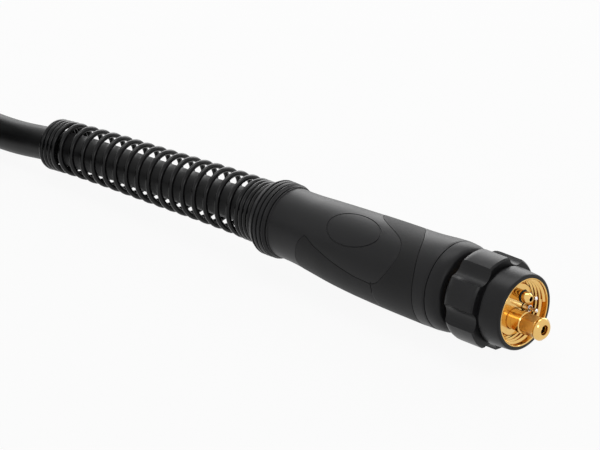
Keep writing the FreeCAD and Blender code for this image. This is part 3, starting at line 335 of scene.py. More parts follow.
# Each finish, with the slot that its pieces go to
FINISHES = {
    "hard_plastic": (hard_plastic, "black_plastic"),
    "nut_plastic": (nut_plastic, "black_plastic"),
    "soft_grip": (soft_grip, "soft_grip"),
    "ring_rubber": (ring_rubber, "soft_grip"),
    "polished_brass": (polished_brass, "brass"),
    "brushed_brass": (brushed_brass, "brass"),
    "bright_steel": (bright_steel, "steel"),
    "liner_steel": (liner_steel, "steel"),
    "nickel": (nickel, "steel"),
    "copper": (copper, "copper"),
    "lacquer": (lacquer, "spring_black"),
    "jacket": (jacket, "cable_jacket"),
}


# ------------------------------------------------------------------- modelling
SAME_PLACE = 1e-7  # metres between corners that are one corner
SAME_CUT = 1e-6  # the same between corners that the cuts across a grip leave
ALONG_X = (0, math.pi / 2, 0)


def nothing_selected():
    bpy.ops.object.select_all(action="DESELECT")


def alone(piece):
    """Leaves one object selected and active."""
    nothing_selected()
    piece.select_set(True)
    bpy.context.view_layer.objects.active = piece


def named(piece, name):
    piece.name = name
    piece.data.name = name
    return piece


def into_edit():
    """Goes into edit mode with the whole mesh selected."""
    bpy.ops.object.mode_set(mode="EDIT")
    bpy.ops.mesh.select_all(action="SELECT")


def out_of_edit():
    bpy.ops.object.mode_set(mode="OBJECT")


def applied(piece):
    """Puts the selected piece's place, turn and size into its mesh."""
    bpy.ops.object.transform_apply(location=True, rotation=True, scale=True)
    return piece


def converted(piece, name, kind="MESH"):
    """Makes a curve a mesh, or a wire mesh a curve."""
    alone(piece)
    bpy.ops.object.convert(target=kind)
    return named(bpy.context.object, name)


def drawn(name, corners, closed=True):
    """A wire outline, extruded corner by corner from a plane merged to a point."""
    nothing_selected()
    bpy.ops.mesh.primitive_plane_add(size=MM)
    piece = named(bpy.context.object, name)
    places = [Vector((*corner, 0)[:3]) * MM for corner in corners]
    into_edit()
    bpy.ops.mesh.merge(type="CENTER")
    bpy.ops.transform.translate(value=places[0])
    for a, b in zip(places, places[1:] + (places[:1] if closed else [])):
        bpy.ops.mesh.extrude_region_move(TRANSFORM_OT_translate={"value": b - a})
    bpy.ops.mesh.select_all(action="SELECT")
    bpy.ops.mesh.remove_doubles(threshold=SAME_PLACE)
    return piece


def tidy(piece, angle=32):
    """Merges doubles, works out again which way faces point and shades round faces smooth."""
    alone(piece)
    into_edit()
    bpy.ops.mesh.remove_doubles(threshold=SAME_PLACE)
    bpy.ops.mesh.normals_make_consistent(inside=False)
    out_of_edit()
    bpy.ops.object.shade_smooth_by_angle(angle=math.radians(angle))
    return piece


def turned(name, corners, steps=96, arc=360.0):
    """A piece turned about X from its half section of (x, radius) corners.

    A section that starts on the axis is left open there, and the turn closes it."""
    starts_on_axis = corners[0][1] == 0
    piece = drawn(name, corners, closed=not starts_on_axis)
    if arc < 360:
        bpy.ops.mesh.edge_face_add()
    turn = -math.radians(arc)
    bpy.ops.mesh.spin(steps=steps, angle=turn, axis=(1, 0, 0), use_auto_merge=arc == 360)
    out_of_edit()
    return tidy(piece)


def modify(piece, kind, **settings):
    """Adds a modifier, sets it up and applies it."""
    alone(piece)
    change = piece.modifiers.new(kind.lower(), kind)
    for name, value in settings.items():
        setattr(change, name, value)
    bpy.ops.object.modifier_apply(modifier=change.name)
    return piece


def bevel(piece, width, segments, angle):
    """Rounds the edges that turn by more than an angle in degrees."""
    limit = {"limit_method": "ANGLE", "angle_limit": math.radians(angle)}
    return modify(piece, "BEVEL", width=width * MM, segments=segments, **limit)


def carve(piece, tool, operation="DIFFERENCE"):
    """Boolean with a tool piece, which is then removed."""
    modify(piece, "BOOLEAN", object=tool, operation=operation, solver="EXACT")
    bpy.data.objects.remove(tool)
    return piece


def put(piece, at=(0, 0, 0), turn=None):
    """Moves a piece to its place, in millimetres, and applies the place to its mesh."""
    piece.matrix_world = Matrix.Translation(Vector(at) * MM) @ (turn or Matrix.Identity(4))
    alone(piece)
    return applied(piece)


def coated(piece, finish):
    """Gives a piece one finish in place of what it had."""
    piece.data.materials.clear()
    piece.data.materials.append(material(finish))


def finished(piece, body, finish, *nodes):
    """Gives a piece its finish, its body and the CAD nodes that it stands for."""
    coated(piece, finish)
    if nodes:
        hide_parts(*nodes)
    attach(piece, body)
    return piece


def cylinder(name, radius, x, long, at=(0, 0, 0), sides=64):
    """A cylinder along X, used as a tool or as the start of a piece."""
    nothing_selected()
    bpy.ops.mesh.primitive_cylinder_add(
        vertices=sides,
        radius=radius * MM,
        depth=long * MM,
        location=Vector((x + long / 2 + at[0], at[1], at[2])) * MM,
        rotation=ALONG_X,
    )
    return applied(named(bpy.context.object, name))


def about_axis(angle):
    return Matrix.Rotation(angle, 4, "X")


def share_of(value, start, reach):
    """How far a value has come from start over reach, held to 0 and 1."""
    return min(1.0, max(0.0, (value - start) / reach))


# ---------------------------------------------------------------- the coupling
NUT_REAR = NUT_LOW.x
GRIP_RADIUS = (NUT_HIGH.z - NUT_LOW.z) / 2
GRIP_FRONT = NUT_REAR + 20.5
COLLAR_RADIUS = 21.45
RIM_RADIUS = 20.7
NUT_BORE = 15.6
INSERT_RADIUS = 18.7
INSERT_SEAT = INSERT_RADIUS + 0.05
INSERT_DEPTH = 24.0
LOBE_ANGLE = 7.0
LOBES = 6
FLUTE_RADIUS = 7.2
FLUTE_DEPTH = 4.0
FLUTE_RUN_OUT = 2.0  # how far a flute's tool stands out behind the nut
THREAD_TURNS = 7
THREAD_ROOT = 17.9
THREAD_CREST = 16.75
THREAD_START = -1.1


class TORCH_OT_nut(bpy.types.Operator):
    """Coupling nut: a turned blank with six flutes cut along its grip"""

    bl_idname = "torch.nut"
    bl_label = "Coupling nut"

    def execute(self, context):
        grip = GRIP_RADIUS - 0.1
        blank = turned("coupling_nut_skin", [
            (NUT_REAR, NUT_BORE), (NUT_REAR, grip - 2.6), (NUT_REAR + 0.4, grip - 1.5),
            (NUT_REAR + 1.4, grip - 0.6), (NUT_REAR + 3.0, grip - 0.15), (NUT_REAR + 5.0, grip),
            (GRIP_FRONT - 1.0, grip - 0.05), (GRIP_FRONT, grip - 0.9),
            (GRIP_FRONT, COLLAR_RADIUS - 0.85), (GRIP_FRONT + 1.5, COLLAR_RADIUS - 0.85),
            (GRIP_FRONT + 1.65, COLLAR_RADIUS - 0.15), (GRIP_FRONT + 1.85, COLLAR_RADIUS),
            (-1.3, RIM_RADIUS + 0.1), (-0.5, RIM_RADIUS - 0.1), (-0.1, RIM_RADIUS - 0.45),
            (0, RIM_RADIUS - 0.9), (0, INSERT_SEAT), (-INSERT_DEPTH, INSERT_SEAT),
            (-INSERT_DEPTH, NUT_BORE),
        ], steps=144)
        reach = GRIP_RADIUS - FLUTE_DEPTH + FLUTE_RADIUS
        start = NUT_REAR - FLUTE_RUN_OUT
        for i in range(LOBES):
            angle = math.radians(LOBE_ANGLE + 180 / LOBES + 360 / LOBES * i)
            at = (0, -reach * math.sin(angle), reach * math.cos(angle))
            carve(blank, cylinder("flute", FLUTE_RADIUS, start, GRIP_FRONT + 0.5 - start, at))
        bevel(blank, sizes().lobe_edge, 3, 30)
        tidy(blank, 40)
        finished(blank, "nut", "nut_plastic", "coupling_nut")
        return {"FINISHED"}


class TORCH_OT_insert(bpy.types.Operator):
    """Brass ring in the nut, with its thread wound as a screw"""

    bl_idname = "torch.insert"
    bl_label = "Threaded ring"

    def execute(self, context):
        rear = -INSERT_DEPTH + 0.1
        ring = turned("thread_ring", [
            (rear, THREAD_CREST), (rear, INSERT_RADIUS), (-0.15, INSERT_RADIUS),
            (0, INSERT_RADIUS - 0.15), (0, THREAD_ROOT + 0.2), (-0.3, THREAD_ROOT),
            (-20.0, THREAD_ROOT), (-20.6, THREAD_CREST),
        ])
        finished(ring, "nut", "polished_brass", "thread_insert")
        pitch = sizes().thread_pitch
        foot = THREAD_ROOT + 0.2
        tooth = drawn("thread", [
            (THREAD_START, foot), (THREAD_START - pitch * 0.4, THREAD_CREST),
            (THREAD_START - pitch * 0.52, THREAD_CREST), (THREAD_START - pitch * 0.92, foot),
        ])
        bpy.ops.mesh.edge_face_add()
        out_of_edit()
        modify(
            tooth,
            "SCREW",
            axis="X",
            angle=2 * math.pi,
            iterations=THREAD_TURNS,
            screw_offset=-pitch * MM,
            steps=96,
            render_steps=96,
            use_merge_vertices=False,
        )
        into_edit()
        bpy.ops.mesh.fill_holes(sides=4)
        out_of_edit()
        tidy(tooth, 25)
        finished(tooth, "nut", "polished_brass")
        return {"FINISHED"}


# -------------------------------------------------------------------- the plug
TUBE_AT = (0, 1.4, -6.5)
NIPPLE_AT = (0, -2.2, 10.3)
PILOTS = {"upper": (0, 6.4, 6.6), "lower": (0, 6.8, -0.5)}
TUBE_RADIUS = 5.5
TUBE_BORE = 3.0
TUBE_COLLAR = 5.95
HEXAGON_CORNER = 6.0
HEXAGON_TURN = math.radians(13)
HEXAGON_BORE = 3.4
SEAL_WIRE = 0.55
SEAL_RADIUS = 2.85


class TORCH_OT_nose(bpy.types.Operator):
    """Central tube and the liner's nut, with its hexagon and round nose"""

    bl_idname = "torch.nose"
    bl_label = "Central tube and liner nut"

    def execute(self, context):
        tube = turned("central_tube_skin", [
            (-20, TUBE_BORE), (-20, TUBE_RADIUS), (-3.3, TUBE_RADIUS), (-3.1, TUBE_COLLAR),
            (-0.5, TUBE_COLLAR), (0, TUBE_RADIUS), (0, TUBE_BORE + 1.0), (-2, TUBE_BORE),
        ])
        finished(put(tube, TUBE_AT), ROOT, "polished_brass", "central_tube")
        hexagon = cylinder("liner_nut_hexagon", HEXAGON_CORNER, 0.05, 9.3, sides=6)
        bevel(hexagon, 0.5, 2, 30)
        put(hexagon, TUBE_AT, about_axis(HEXAGON_TURN))
        carve(hexagon, cylinder("bore", HEXAGON_BORE, -1, 12, TUBE_AT))
        tidy(hexagon, 12)
        finished(hexagon, ROOT, "brushed_brass", "liner_nut")
        nose = turned("liner_nut_nose", [
            (-5.5, 2.4), (-5.5, 3.6), (9.25, 3.6), (9.25, 5.6), (9.4, 6.05), (9.7, 6.2),
            (10.9, 6.2), (11.3, 6.05), (12.45, 4.95), (12.7, 4.6), (12.8, 4.3), (12.8, 3.0),
            (12.6, 2.75), (12.1, 2.6), (9.0, 2.6), (8.8, 2.4),
        ])
        finished(put(nose, TUBE_AT), ROOT, "polished_brass")
        return {"FINISHED"}


class TORCH_OT_nipple(bpy.types.Operator):
    """Gas nipple and its O-ring"""

    bl_idname = "torch.nipple"
    bl_label = "Gas nipple"

    def execute(self, context):
        nipple = turned("gas_nipple_skin", [
            (-12, 1.3), (-12, 3.2), (0.3, 3.2), (0.35, 2.4), (1.65, 2.4), (1.7, 2.85), (4.3, 2.9),
            (4.7, 2.7), (5.9, 2.1), (6.15, 1.9), (6.2, 1.6), (6.1, 1.35), (5.0, 1.3),
        ], steps=64)
        finished(put(nipple, NIPPLE_AT), ROOT, "polished_brass", "gas_nipple")
        nothing_selected()
        bpy.ops.mesh.primitive_torus_add(
            major_radius=SEAL_RADIUS * MM,
            minor_radius=SEAL_WIRE * MM,
            major_segments=64,
            minor_segments=20,
            rotation=ALONG_X,
        )
        ring = applied(named(bpy.context.object, "nipple_seal"))
        put(ring, (1.0, *NIPPLE_AT[1:]))
        tidy(ring)
        finished(ring, ROOT, "ring_rubber", "nipple_o_ring")
        return {"FINISHED"}


class TORCH_OT_pilots(bpy.types.Operator):
    """Spring-loaded pilot pins and the barrels that they slide in"""

    bl_idname = "torch.pilots"
    bl_label = "Pilot pins"

    def execute(self, context):
        for which, at in PILOTS.items():
            barrel = turned(f"pilot_barrel_{which}_skin", [
                (-10, 1.45), (-10, 1.9), (-2.35, 1.9), (-2.1, 1.82), (-2.0, 1.65), (-2.05, 1.5),
                (-2.3, 1.45),
            ], steps=48)
            finished(put(barrel, at), ROOT, "bright_steel", f"pilot_barrel_{which}")
            pin = turned(f"pilot_pin_{which}_skin", [
                (3.0, 0), (2.95, 0.4), (2.72, 0.78), (2.4, 1.0), (2.0, 1.1), (-8.4, 1.1),
                (-8.4, 1.6), (-9.9, 1.6), (-9.9, 0),
            ], steps=48)
            finished(put(pin, at), f"pin_{which}", "bright_steel", f"pilot_pin_{which}")
        return {"FINISHED"}


# ----------------------------------------------------------------- the housing
FRONT_RADIUS = 24.8
REAR_RADIUS = 19.6
DROP = 1.15
# The outer form: distance behind the rim, radius, and share of the drop
FORM = [
    (48.0, FRONT_RADIUS, 0.0), (57.0, FRONT_RADIUS - 0.2, 0.35), (66.0, FRONT_RADIUS - 0.7, 0.74),
    (78.0, FRONT_RADIUS - 0.95, 0.91), (94.0, FRONT_RADIUS - 1.3, 0.96),
    (110.0, FRONT_RADIUS - 1.85, 1.0), (126.0, FRONT_RADIUS - 2.7, 0.83),
    (142.0, REAR_RADIUS + 1.25, 0.39), (153.9, REAR_RADIUS + 0.3, 0.15), (166.5, REAR_RADIUS, 0.0),
]
RIB_GROOVES = [168.3, 171.3, 174.3, 177.3]
RIB_RISES = [0.69, 1.66, 1.8, 1.8]
FORM_PITCH = 3.6
EASE_SAMPLES = 7
EASE_REACH = 4.0
WEB_RADIUS = 11.2
OUTSIDE_FROM = 18.6  # a shell's corners further out than this belong to its outside
WRAP_RADIUS = 25.0  # at which flat outlines are as wide as they lie on the form
GRIP_DEPTH = 0.85
GRIP_PROUD = 0.08
GRIP_EDGE = 0.3
# Cuts across a flat grip: the first one, their pitch, and how far the last stays from the end
GRID_FIRST = 2.0
GRID_PITCH = 1.8
GRID_CLEAR = 0.3
SEAM_WIDTH = 0.75
SEAM_OVERRUN = 1.5  # how far a line is carried past the seam between the halves
THUMB_GROOVE = 0.85
THUMB_PLACE = (108.5, -1.7)
THUMB_HALF = (18.5, 10.2)
GRIPS_PART = 86.3  # where band and panel part near the upper seam
HALVES = [("near", 1, 0.0), ("far", -1, math.pi)]
# Edges of the soft grips, seen square to a half: distance behind the rim and aside
BAND_FRONT = [
    (57, 25.5), (56.6, 22.5), (57, 14), (58, 8.1), (60, 1.7), (62.5, -4.8), (66, -10.9),
    (71, -16.2), (75, -19), (80, -21), (86, -22.5), (89, -23.3), (92, -25.5),
]
LEAF_FRONT = [
    (113, -25.5), (113.2, -23.8), (111.6, -22.3), (109.5, -21.4), (106, -19.5), (100, -15.4), (90, -11.3),
    (80, -7.3), (74, -2.5), (72, 3.7), (73.2, 8.5), (75.5, 13.3), (80, 18), (83.5, 19.8), (86.4, 20.4),
]
LEAF_REAR = [
    (86.9, 20.45), (90, 20.3), (100, 19.8), (115, 17.6), (128, 14.3), (133, 12.6), (137, 10.8),
    (138.8, 10.4), (141, 12), (143, 14), (144.5, 17), (146, 20), (147, 25.5),
]


def form_at(back):
    """Radius and drop of the form at a distance behind the rim, eased at its rings."""
    middle = EASE_SAMPLES // 2
    found = Vector((0, 0))
    for i in range(EASE_SAMPLES):
        place = min(max(back + EASE_REACH * (i - middle) / middle, FORM[0][0]), FORM[-1][0])
        for (a, r0, d0), (b, r1, d1) in zip(FORM, FORM[1:]):
            if place <= b:
                share = (place - a) / (b - a)
                found += Vector((r0 + (r1 - r0) * share, (d0 + (d1 - d0) * share) * DROP))
                break
    return found / EASE_SAMPLES


def downward():
    """Way in which the form drops: square to the split, towards its lower seam."""
    down = sizes().split + math.pi / 2
    return Vector((0, -math.sin(down), math.cos(down)))


def shell_section():
    """Half section of a shell: outside from the front, ribs, rear lip, webs inside."""
    corners = [(-48.0, WEB_RADIUS), (-48.0, 24.3), (-48.12, 24.6), (-48.4, 24.75)]
    back = 50.0
    while back < 166:
        corners.append((-back, form_at(back)[0]))
        back += FORM_PITCH
    corners.append((-166.9, REAR_RADIUS + 0.1))
    for groove, rise in zip(RIB_GROOVES, RIB_RISES):
        radius = REAR_RADIUS + rise
        corners += [
            (-groove + 1.0, radius - 0.05), (-groove + 0.55, radius - 0.12),
            (-groove + 0.32, radius - 0.75), (-groove - 0.32, radius - 0.75),
            (-groove - 0.55, radius - 0.12), (-groove - 1.0, radius),
        ]
    lip = [(-179.4, 20.8), (-180.6, 20.2), (-181.5, 19.6), (-181.95, 19.1), (-182.0, 18.6), (-181.8, 18.35)]
    rear_web = [(-180.8, 18.3), (-172.0, 18.3), (-172.0, 14.3), (-168.5, 14.3), (-168.5, 17.0)]
    inside = [(-150.0, 17.3), (-90.0, 19.6), (-60.0, 21.4), (-52.0, 21.8), (-52.0, WEB_RADIUS)]
    return corners + lip + rear_web + inside


def sagged(piece):
    """Drops a turned shell's outside the way the form drops."""
    way = downward()
    for corner in piece.data.vertices:
        if corner.co.yz.length > OUTSIDE_FROM * MM:
            corner.co += way * (form_at(-corner.co.x / MM)[1] * MM)


def roll(piece, split, height):
    """Rolls a flat piece onto the form. Flat X stays, flat Y is the way round at
    WRAP_RADIUS, and height gives the distance off the form from flat Z."""
    way = downward()
    for corner in piece.data.vertices:
        radius, drop = form_at(-corner.co.x / MM)
        angle = split + corner.co.y / MM / WRAP_RADIUS
        reach = (radius + height(corner.co.z / MM)) * MM
        round_it = Vector((0, -math.sin(angle), math.cos(angle))) * reach
        corner.co = Vector((corner.co.x, 0, 0)) + round_it + way * (drop * MM)


def along_curve(p, q, r, w, u):
    """A place from q to r, as u goes from 0 to 1, on the curve through p, q, r and w."""
    square = (2 * p - 5 * q + 4 * r - w) * u**2
    return 0.5 * (2 * q + (r - p) * u + square + (3 * q - p - 3 * r + w) * u**3)


def eased(points, steps=4):
    """Points along a smooth curve through the outline's own points."""
    ends = [points[0]] + list(points) + [points[-1]]
    curve = []
    for corners in zip(ends, ends[1:], ends[2:], ends[3:]):
        for i in range(steps):
            curve.append(tuple(along_curve(*numbers, i / steps) for numbers in zip(*corners)))
    curve.append(points[-1])
    return curve


def band_outline():
    return eased(BAND_FRONT) + eased(LEAF_FRONT) + [(85.9, 20.9), (85.3, 25.5)]


def panel_outline():
    return [(GRIPS_PART, 25.5), (GRIPS_PART, 21.0)] + eased(LEAF_REAR)


def rolled_out(points, hand):
    """Outline points seen square to a half, as flat points on the roll."""
    flat = []
    for back, aside in points:
        radius, drop = form_at(back)
        sine = max(-1.0, min(1.0, (aside - drop) / radius))
        flat.append((-back, hand * math.asin(sine) * WRAP_RADIUS))
    return flat


def grip_patch(name, outline, split):
    """A soft grip: drawn flat, cut into a grid, thickened, rolled and rounded."""
    patch = drawn(name, outline)
    bpy.ops.mesh.edge_face_add()
    xs = [x for x, y in outline]
    ys = [y for x, y in outline]
    for low, high, normal in ((min(xs), max(xs), (1, 0, 0)), (min(ys), max(ys), (0, 1, 0))):
        place = low + GRID_FIRST
        while place < high - GRID_CLEAR:
            bpy.ops.mesh.select_all(action="SELECT")
            bpy.ops.mesh.bisect(plane_co=Vector(normal) * place * MM, plane_no=normal)
            place += GRID_PITCH
    bpy.ops.mesh.select_all(action="SELECT")
    bpy.ops.mesh.remove_doubles(threshold=SAME_CUT)
    bpy.ops.mesh.extrude_region_move(TRANSFORM_OT_translate={"value": (0, 0, MM)})
    out_of_edit()
    roll(patch, split, lambda z: -GRIP_DEPTH + (GRIP_DEPTH + GRIP_PROUD) * z)
    tidy(patch, 30)
    bevel(patch, GRIP_EDGE, 2, 50)
    return tidy(patch, 40)


def past_seam(flat):
    """Carries a line's ends on over the seam where they come near it."""
    seam = math.pi / 2 * WRAP_RADIUS
    near = 14.0
    places = [Vector(place) for place in flat if abs(place[1]) < seam - SEAM_OVERRUN]
    ends = []
    for end, before in ((places[0], places[1]), (places[-1], places[-2])):
        way = (end - before).normalized()
        left = seam - abs(end.y)
        beyond = end + way * ((left + SEAM_OVERRUN) / max(0.5, abs(way.y)))
        ends.append([beyond] if left < near else [])
    return [tuple(place) for place in ends[0] + places + ends[1]]


def groove_tool(name, outline, width, split, closed=True):
    """A thin tube laid along an outline on the form, to cut a line with."""
    line = drawn(name, outline, closed)
    out_of_edit()
    roll(line, split, lambda z: z)
    tube = converted(line, name, "CURVE")
    tube.data.bevel_depth = width / 2 * MM
    tube.data.bevel_resolution = 1
    tube.data.use_fill_caps = True
    return tidy(converted(tube, name))


def thumb_oval(sides=72):
    """The thumb place's outline, fuller towards its rear end."""
    oval = []
    for i in range(sides):
        angle = 2 * math.pi * i / sides
        fuller = 1 + 0.12 * math.cos(angle)
        back = THUMB_PLACE[0] + THUMB_HALF[0] * math.cos(angle)
        oval.append((back, THUMB_PLACE[1] - THUMB_HALF[1] * fuller * math.sin(angle)))
    return oval


class TORCH_OT_housing(bpy.types.Operator):
    """Rear housing: two hard shells and the ring that closes their front"""

    bl_idname = "torch.housing"
    bl_label = "Housing shells"

    def execute(self, context):
        edges = [eased(edge) for edge in (BAND_FRONT, LEAF_FRONT, LEAF_REAR)]
        edges.append([(GRIPS_PART, 19.6), (GRIPS_PART, 22.5)])
        for side, hand, turn in HALVES:
            split = sizes().split + turn
            shell = turned(f"shell_{side}", shell_section(), 72, 180.0)
            put(shell, turn=about_axis(split))
            sagged(shell)
            groove = groove_tool("thumb_groove", rolled_out(thumb_oval(), hand), THUMB_GROOVE, split)
            carve(shell, groove)
            for edge in edges:
                line = past_seam(rolled_out(edge, hand))
                carve(shell, groove_tool("seam", line, SEAM_WIDTH, split, False))
            tidy(shell, 38)
            finished(shell, ROOT, "hard_plastic", f"housing_shell_{side}")
        ring = turned("housing_front_ring_skin", [
            (CAP_HIGH.x, WEB_RADIUS), (CAP_HIGH.x, 21.2), (CAP_HIGH.x - 0.3, 22.2),
            (CAP_HIGH.x - 1.0, 23.0), (CAP_HIGH.x - 2.4, 23.7), (CAP_HIGH.x - 4.5, 24.3),
            (CAP_LOW.x + 1.2, 24.62), (CAP_LOW.x + 0.45, 24.62), (CAP_LOW.x + 0.1, 24.4),
            (CAP_LOW.x, 24.0), (CAP_LOW.x, WEB_RADIUS),
        ], steps=128)
        finished(ring, ROOT, "hard_plastic", "housing_front_ring")
        return {"FINISHED"}


class TORCH_OT_grips(bpy.types.Operator):
    """Soft grips moulded over both shells"""

    bl_idname = "torch.grips"
    bl_label = "Soft grips"

    def execute(self, context):
        for side, hand, turn in HALVES:
            for name, outline in (("soft_band", band_outline()), ("soft_panel", panel_outline())):
                flat = rolled_out(outline, hand)
                patch = grip_patch(f"{name}_{side}_skin", flat, sizes().split + turn)
                finished(patch, ROOT, "soft_grip", f"{name}_{side}")
        return {"FINISHED"}


# -------------------------------------------------------- the spring and cable
# How the spring is wound after so many turns, changing evenly in between
SPRING_TURNS = [
    (0.0, "tight"), (5.7, "tight"), (6.8, "open"), (21.8, "open"), (22.9, "tight"), (26.4, "tight"),
]
PITCHES = {"tight": 3.2, "open": 9.28}
SPRING_START = 176.0
SPRING_OUTSIDE = 17.9
SPRING_TAPER = 2.55
SPRING_LIFT = 1.1
# Where the spring tapers and where it lifts: distance behind the rim, and over how far
TAPER_RUN = (197, 156)
LIFT_RUN = (192, 40)
SPRING_STEPS = 20
CABLE_LINE = []  # the cable's own curve, filled in once the cable is made


def cable_centre(x):
    """Where the cable's own curve is at x; it is straight inside the housing."""
    for a, b in zip(CABLE_LINE, CABLE_LINE[1:]):
        if b.x <= x <= a.x:
            return a.lerp(b, (a.x - x) / (a.x - b.x))
    return Vector((x, 0, 0))


def spring_run(turns):
    """How far back along the axis the wire has come after so many turns."""
    run = 0.0
    for (a, kind), (b, later) in zip(SPRING_TURNS, SPRING_TURNS[1:]):
        upto = min(max(turns, a), b)
        rate = (PITCHES[later] - PITCHES[kind]) / (b - a)
        run += PITCHES[kind] * (upto - a) + rate * (upto - a) ** 2 / 2
    return run


def spring_place(turns):
    """The wire's centre: the spring tapers and bends with the cable that lies in it."""
    behind = SPRING_START + spring_run(turns)
    radius = SPRING_OUTSIDE - SPRING_TAPER * share_of(behind, *TAPER_RUN) - sizes().wire / 2
    lift = SPRING_LIFT * share_of(behind, *LIFT_RUN)
    angle = 2 * math.pi * turns
    return cable_centre(-behind) + Vector((0, radius * math.sin(angle), radius * math.cos(angle) + lift))


def spline(name, places, radius, roundness, smoothness):
    """A round tube on a NURBS spline, its places in millimetres."""
    data = bpy.data.curves.new(name, "CURVE")
    data.dimensions = "3D"
    line = data.splines.new("NURBS")
    line.points.add(len(places) - 1)
    for point, place in zip(line.points, places):
        point.co = (*(Vector(place) * MM), 1)
    line.order_u = 3
    line.use_endpoint_u = True
    line.resolution_u = smoothness
    data.bevel_depth = radius * MM
    data.bevel_resolution = roundness
    data.use_fill_caps = True
    piece = bpy.data.objects.new(name, data)
    bpy.context.scene.collection.objects.link(piece)
    return piece


class TORCH_OT_spring(bpy.types.Operator):
    """Bend spring: open turns between tight ends, following the cable's sag"""

    bl_idname = "torch.spring"
    bl_label = "Bend spring"

    def execute(self, context):
        count = int(SPRING_TURNS[-1][0] * SPRING_STEPS)
        places = [spring_place(i / SPRING_STEPS) for i in range(count + 1)]
        name = "bend_spring_wire"
        wire = converted(spline(name, places, sizes().wire / 2, 4, 2), name)
        bpy.ops.object.shade_smooth()
        finished(wire, ROOT, "lacquer", "bend_spring")
        return {"FINISHED"}


CABLE_RADIUS = 9.8
COIL_TURNS = 1.875
COIL_AT = (-490.0, -106.0)
COIL_RADIUS = 78.5
COIL_PITCH = 2 * CABLE_RADIUS + 0.45
COIL_STEPS = 14
LOW = FLOOR / MM + CABLE_RADIUS
LEAD = [
    (-180, 0, 0), (-200, 0, 0), (-237, 0.2, -2.5), (-282, 0.5, -4.6), (-322, 0.8, -6.3),
    (-360, 0.9, -9.0), (-396, 0.6, -14.1), (-441, 4.0, LOW),
]
TAIL = [
    (-373.3, -83.9, 4.6), (-380.2, -49.8, 8.0), (-408.1, -10.5, 15.0), (-453.9, 13.5, 22.0),
    (-552.4, 13.5, 24.4), (-592.2, -6.8, 24.2), (-618.4, -42.9, 24.0), (-625.4, -87.0, 24.2),
    (-611.6, -129.5, 25.0), (-583.7, -157.5, 28.0), (-557.5, -169.1, 31.5), (-538.2, -172.5, 32.5),
    (-520.0, -172.5, 32.5),
]


def coil_place(turns, spread):
    """A place on the coil's centre line, counted in turns from its reversal."""
    wide = math.sqrt(turns * turns + 0.0036) - 0.06 * math.exp(-9 * turns * turns)
    radius = (COIL_RADIUS + COIL_PITCH * wide) * spread
    rise = share_of(turns, -0.25, 0.5)
    rise = rise * rise * (3 - 2 * rise)
    angle = math.radians(90) + 2 * math.pi * (turns + COIL_TURNS)
    x = COIL_AT[0] + radius * math.cos(angle)
    y = COIL_AT[1] + radius * math.sin(angle)
    return (x, y, LOW + COIL_PITCH * rise)


class TORCH_OT_cable(bpy.types.Operator):
    """Co-axial cable: out of the spring, into its coil and on to the gun"""

    bl_idname = "torch.cable"
    bl_label = "Cable"

    def execute(self, context):
        count = int(2 * COIL_TURNS * COIL_STEPS)
        step = 2 * COIL_TURNS / count
        spread = 1 / math.cos(math.pi * step)  # control points lie outside their curve
        coil = [coil_place(-COIL_TURNS + step * (i + 0.5), spread) for i in range(count)]
        piece = spline("cable_run", LEAD + coil + TAIL, 0, 10, 8)
        context.view_layer.update()
        line = bpy.data.meshes.new_from_object(piece)
        CABLE_LINE[:] = [corner.co / MM for corner in line.vertices]
        bpy.data.meshes.remove(line)
        piece.data.bevel_depth = sizes().cable / 2 * MM
        finished(piece, ROOT, "jacket", "cable_lead", "cable_coil", "cable_tail")
        return {"FINISHED"}


# --------------------------------------------------------------------- the gun
GUN = Vector((BOOT_LOW.x, (BOOT_LOW.y + BOOT_HIGH.y) / 2, (BOOT_LOW.z + BOOT_HIGH.z) / 2))
HANDLE = HANDLE_LOW.x - GUN.x
HANDLE_LENGTH = HANDLE_HIGH.x - HANDLE_LOW.x
BOOT_BORE = 10.0
BOOT_GROOVES = 7
BOOT_GROOVE_DEPTH = 0.8
HALF_GAP = 0.04  # from each handle shell to the plane between them
# Screw heads: share of the handle's length, place aside and height
SCREWS = [(0.12, 6, 14.0), (0.5, 6, 15.0), (0.9, 0, 14.3)]
TRIGGER_BACK = 19  # from the handle's front end to the trigger's pin
TRIGGER_ASIDE = -11
TRIGGER_WIDTH = 10
SLEEVE_RADIUS = 8.0
SLEEVE_STEPS = 24
NECK_RUN = 20.0
NECK_BEND = 50.0
NECK_ANGLE = math.radians(45)
NECK_END = GUN + Vector(
    (
        HANDLE + HANDLE_LENGTH + NECK_RUN + NECK_BEND * math.sin(NECK_ANGLE),
        -NECK_BEND * (1 - math.cos(NECK_ANGLE)),
        0,
    )
)
AIM = Matrix.Rotation(-NECK_ANGLE, 4, "Z")


class TORCH_OT_gun_rear(bpy.types.Operator):
    """Rubber boot and swivel knuckle where the cable enters the gun"""

    bl_idname = "torch.gun_rear"
    bl_label = "Gun boot and knuckle"

    def execute(self, context):
        section = [(0, BOOT_BORE), (0, 11.4), (0.4, 11.9)]
        for i in range(BOOT_GROOVES):
            at = 4 + i * 4.6
            radius = 12.2 + i * 0.4
            deep = radius - BOOT_GROOVE_DEPTH
            section += [(at, radius), (at + 0.5, deep), (at + 1.5, deep), (at + 2.0, radius + 0.15)]
        section += [(38, 14.9), (39.6, 14.9), (40, 14.5), (40, BOOT_BORE)]
        boot = turned("gun_boot", section)
        finished(put(boot, GUN), ROOT, "soft_grip", "gun_cable_boot")
        knuckle = turned("gun_knuckle", [
            (40.2, BOOT_BORE), (40.2, 11.8), (42, 13.0), (44.5, 13.8), (47.5, 14.03), (50.5, 13.7),
            (53.5, 12.9), (54.8, 12.3), (60.5, 11.2), (60.5, BOOT_BORE),
        ])
        finished(put(knuckle, GUN), ROOT, "hard_plastic", "ball_knuckle")
        return {"FINISHED"}


